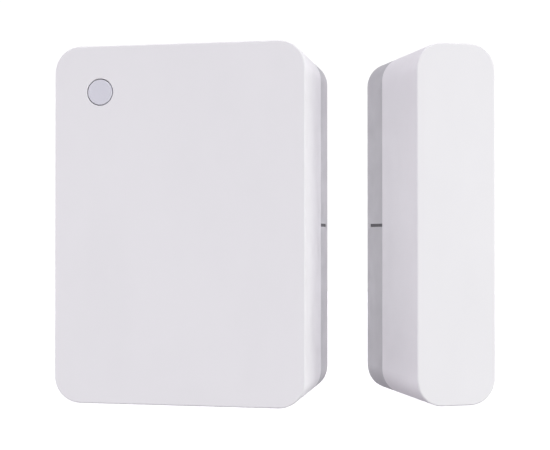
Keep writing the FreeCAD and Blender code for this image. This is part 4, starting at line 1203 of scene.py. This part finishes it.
def block_levels():
    """Heights as shares of the block's length, closer together near its ends."""
    end, steps = BLOCK_END_SHARE, BLOCK_END_STEPS
    middle = 1 - 2 * end
    levels = [i / steps * end for i in range(steps)]
    levels += [end + middle * i / BLOCK_STEPS for i in range(BLOCK_STEPS + 1)]
    return levels + [end + middle + end * (i + 1) / steps for i in range(steps)]


def build_foam_block():
    """The block behind the bar magnet: cut foam with rounded, bulging sides, flat where it is squeezed."""
    name = "magnet_foam_block"
    box = Box(name, True)
    build = Build()
    width, depth = box.size.x - BLOCK_INSET_X, box.size.y - BLOCK_INSET_Y
    path = rounded(box.x, box.middle.y, width, depth, BLOCK_CORNER, BLOCK_CORNER_STEPS)
    outline = spaced(path, BLOCK_POINT_STEP)
    rings = []
    for share in block_levels():
        z = box.low.z + box.size.z * share
        end = min(share, 1 - share) * box.size.z
        round_off = BLOCK_ROUND * (1 - min(1.0, end / BLOCK_ROUND_LENGTH)) ** 2
        ring = []
        for px, py in outline:
            place = Vector((px, py, z))
            cell = noise.noise(place * BLOCK_GRAIN) + FINE_SHARE * noise.noise(place * BLOCK_FINE_GRAIN)
            bulge = BLOCK_BULGE * cos(pi * (py - box.middle.y) / box.size.y)
            ux = (px - box.x) / (box.size.x / 2)
            uy = (py - box.middle.y) / (box.size.y / 2)
            bite = round_off + BLOCK_RAGGED * (1 + cell)
            flat_bite = min(bite, round_off + BLOCK_FLAT_RAGGED)
            ring.append((px + ux * (bulge - bite), py - uy * flat_bite, z))
        rings.append(ring)
    build.loft(rings)
    placing = {"body": "magnet_housing", "turn": DOOR_TURN}
    piece = build.done("magnet_foam_cushion", ["dark_foam"], "dark_foam", [name], **placing)


# ---------------- the whole
def floor_paint():
    """A matt white with broad faint patches, and a little glow."""
    glow = {"Emission_Color": (1.0, 1.0, 1.0, 1.0), "Emission_Strength": FLOOR_GLOW}
    surface = Surface("floor", FLOOR_COLOUR, FLOOR_ROUGHNESS, **glow)
    return surface.tint(surface.noise(FLOOR_PATCH), darker(FLOOR_COLOUR, FLOOR_PATCH_TONE)).material


def make_stage():
    SCENE.view_settings.view_transform = "Standard"
    make_camera()
    make_dome()
    make_floor()
    make_light("key_light", **KEY_LIGHT)


def build_sensor():
    build_board_copper()
    build_board_pads()
    build_board_vias()
    build_board_print()
    build_solder()
    for i in range(CAPACITOR_COUNT):
        build_two_ended(f"capacitor_{i + 1}", "capacitor_body")
    for i in range(RESISTOR_COUNT):
        build_two_ended(f"resistor_{i + 1}", "alumina", "resistor_body")
    build_radio_chip()
    build_crystal_lid()
    build_status_light()
    build_switch_details()
    build_cell_marks()
    build_foam_tape("sensor_foam_tape", "sensor_adhesive_pad", "sensor_base", False)


def build_magnet():
    build_foam_tape("magnet_foam_tape", "magnet_adhesive_pad", "magnet_base", True)
    build_foam_block()


FINISHES = make_finishes()
make_stage()
paint_cad_nodes()
build_sensor()
build_magnet()
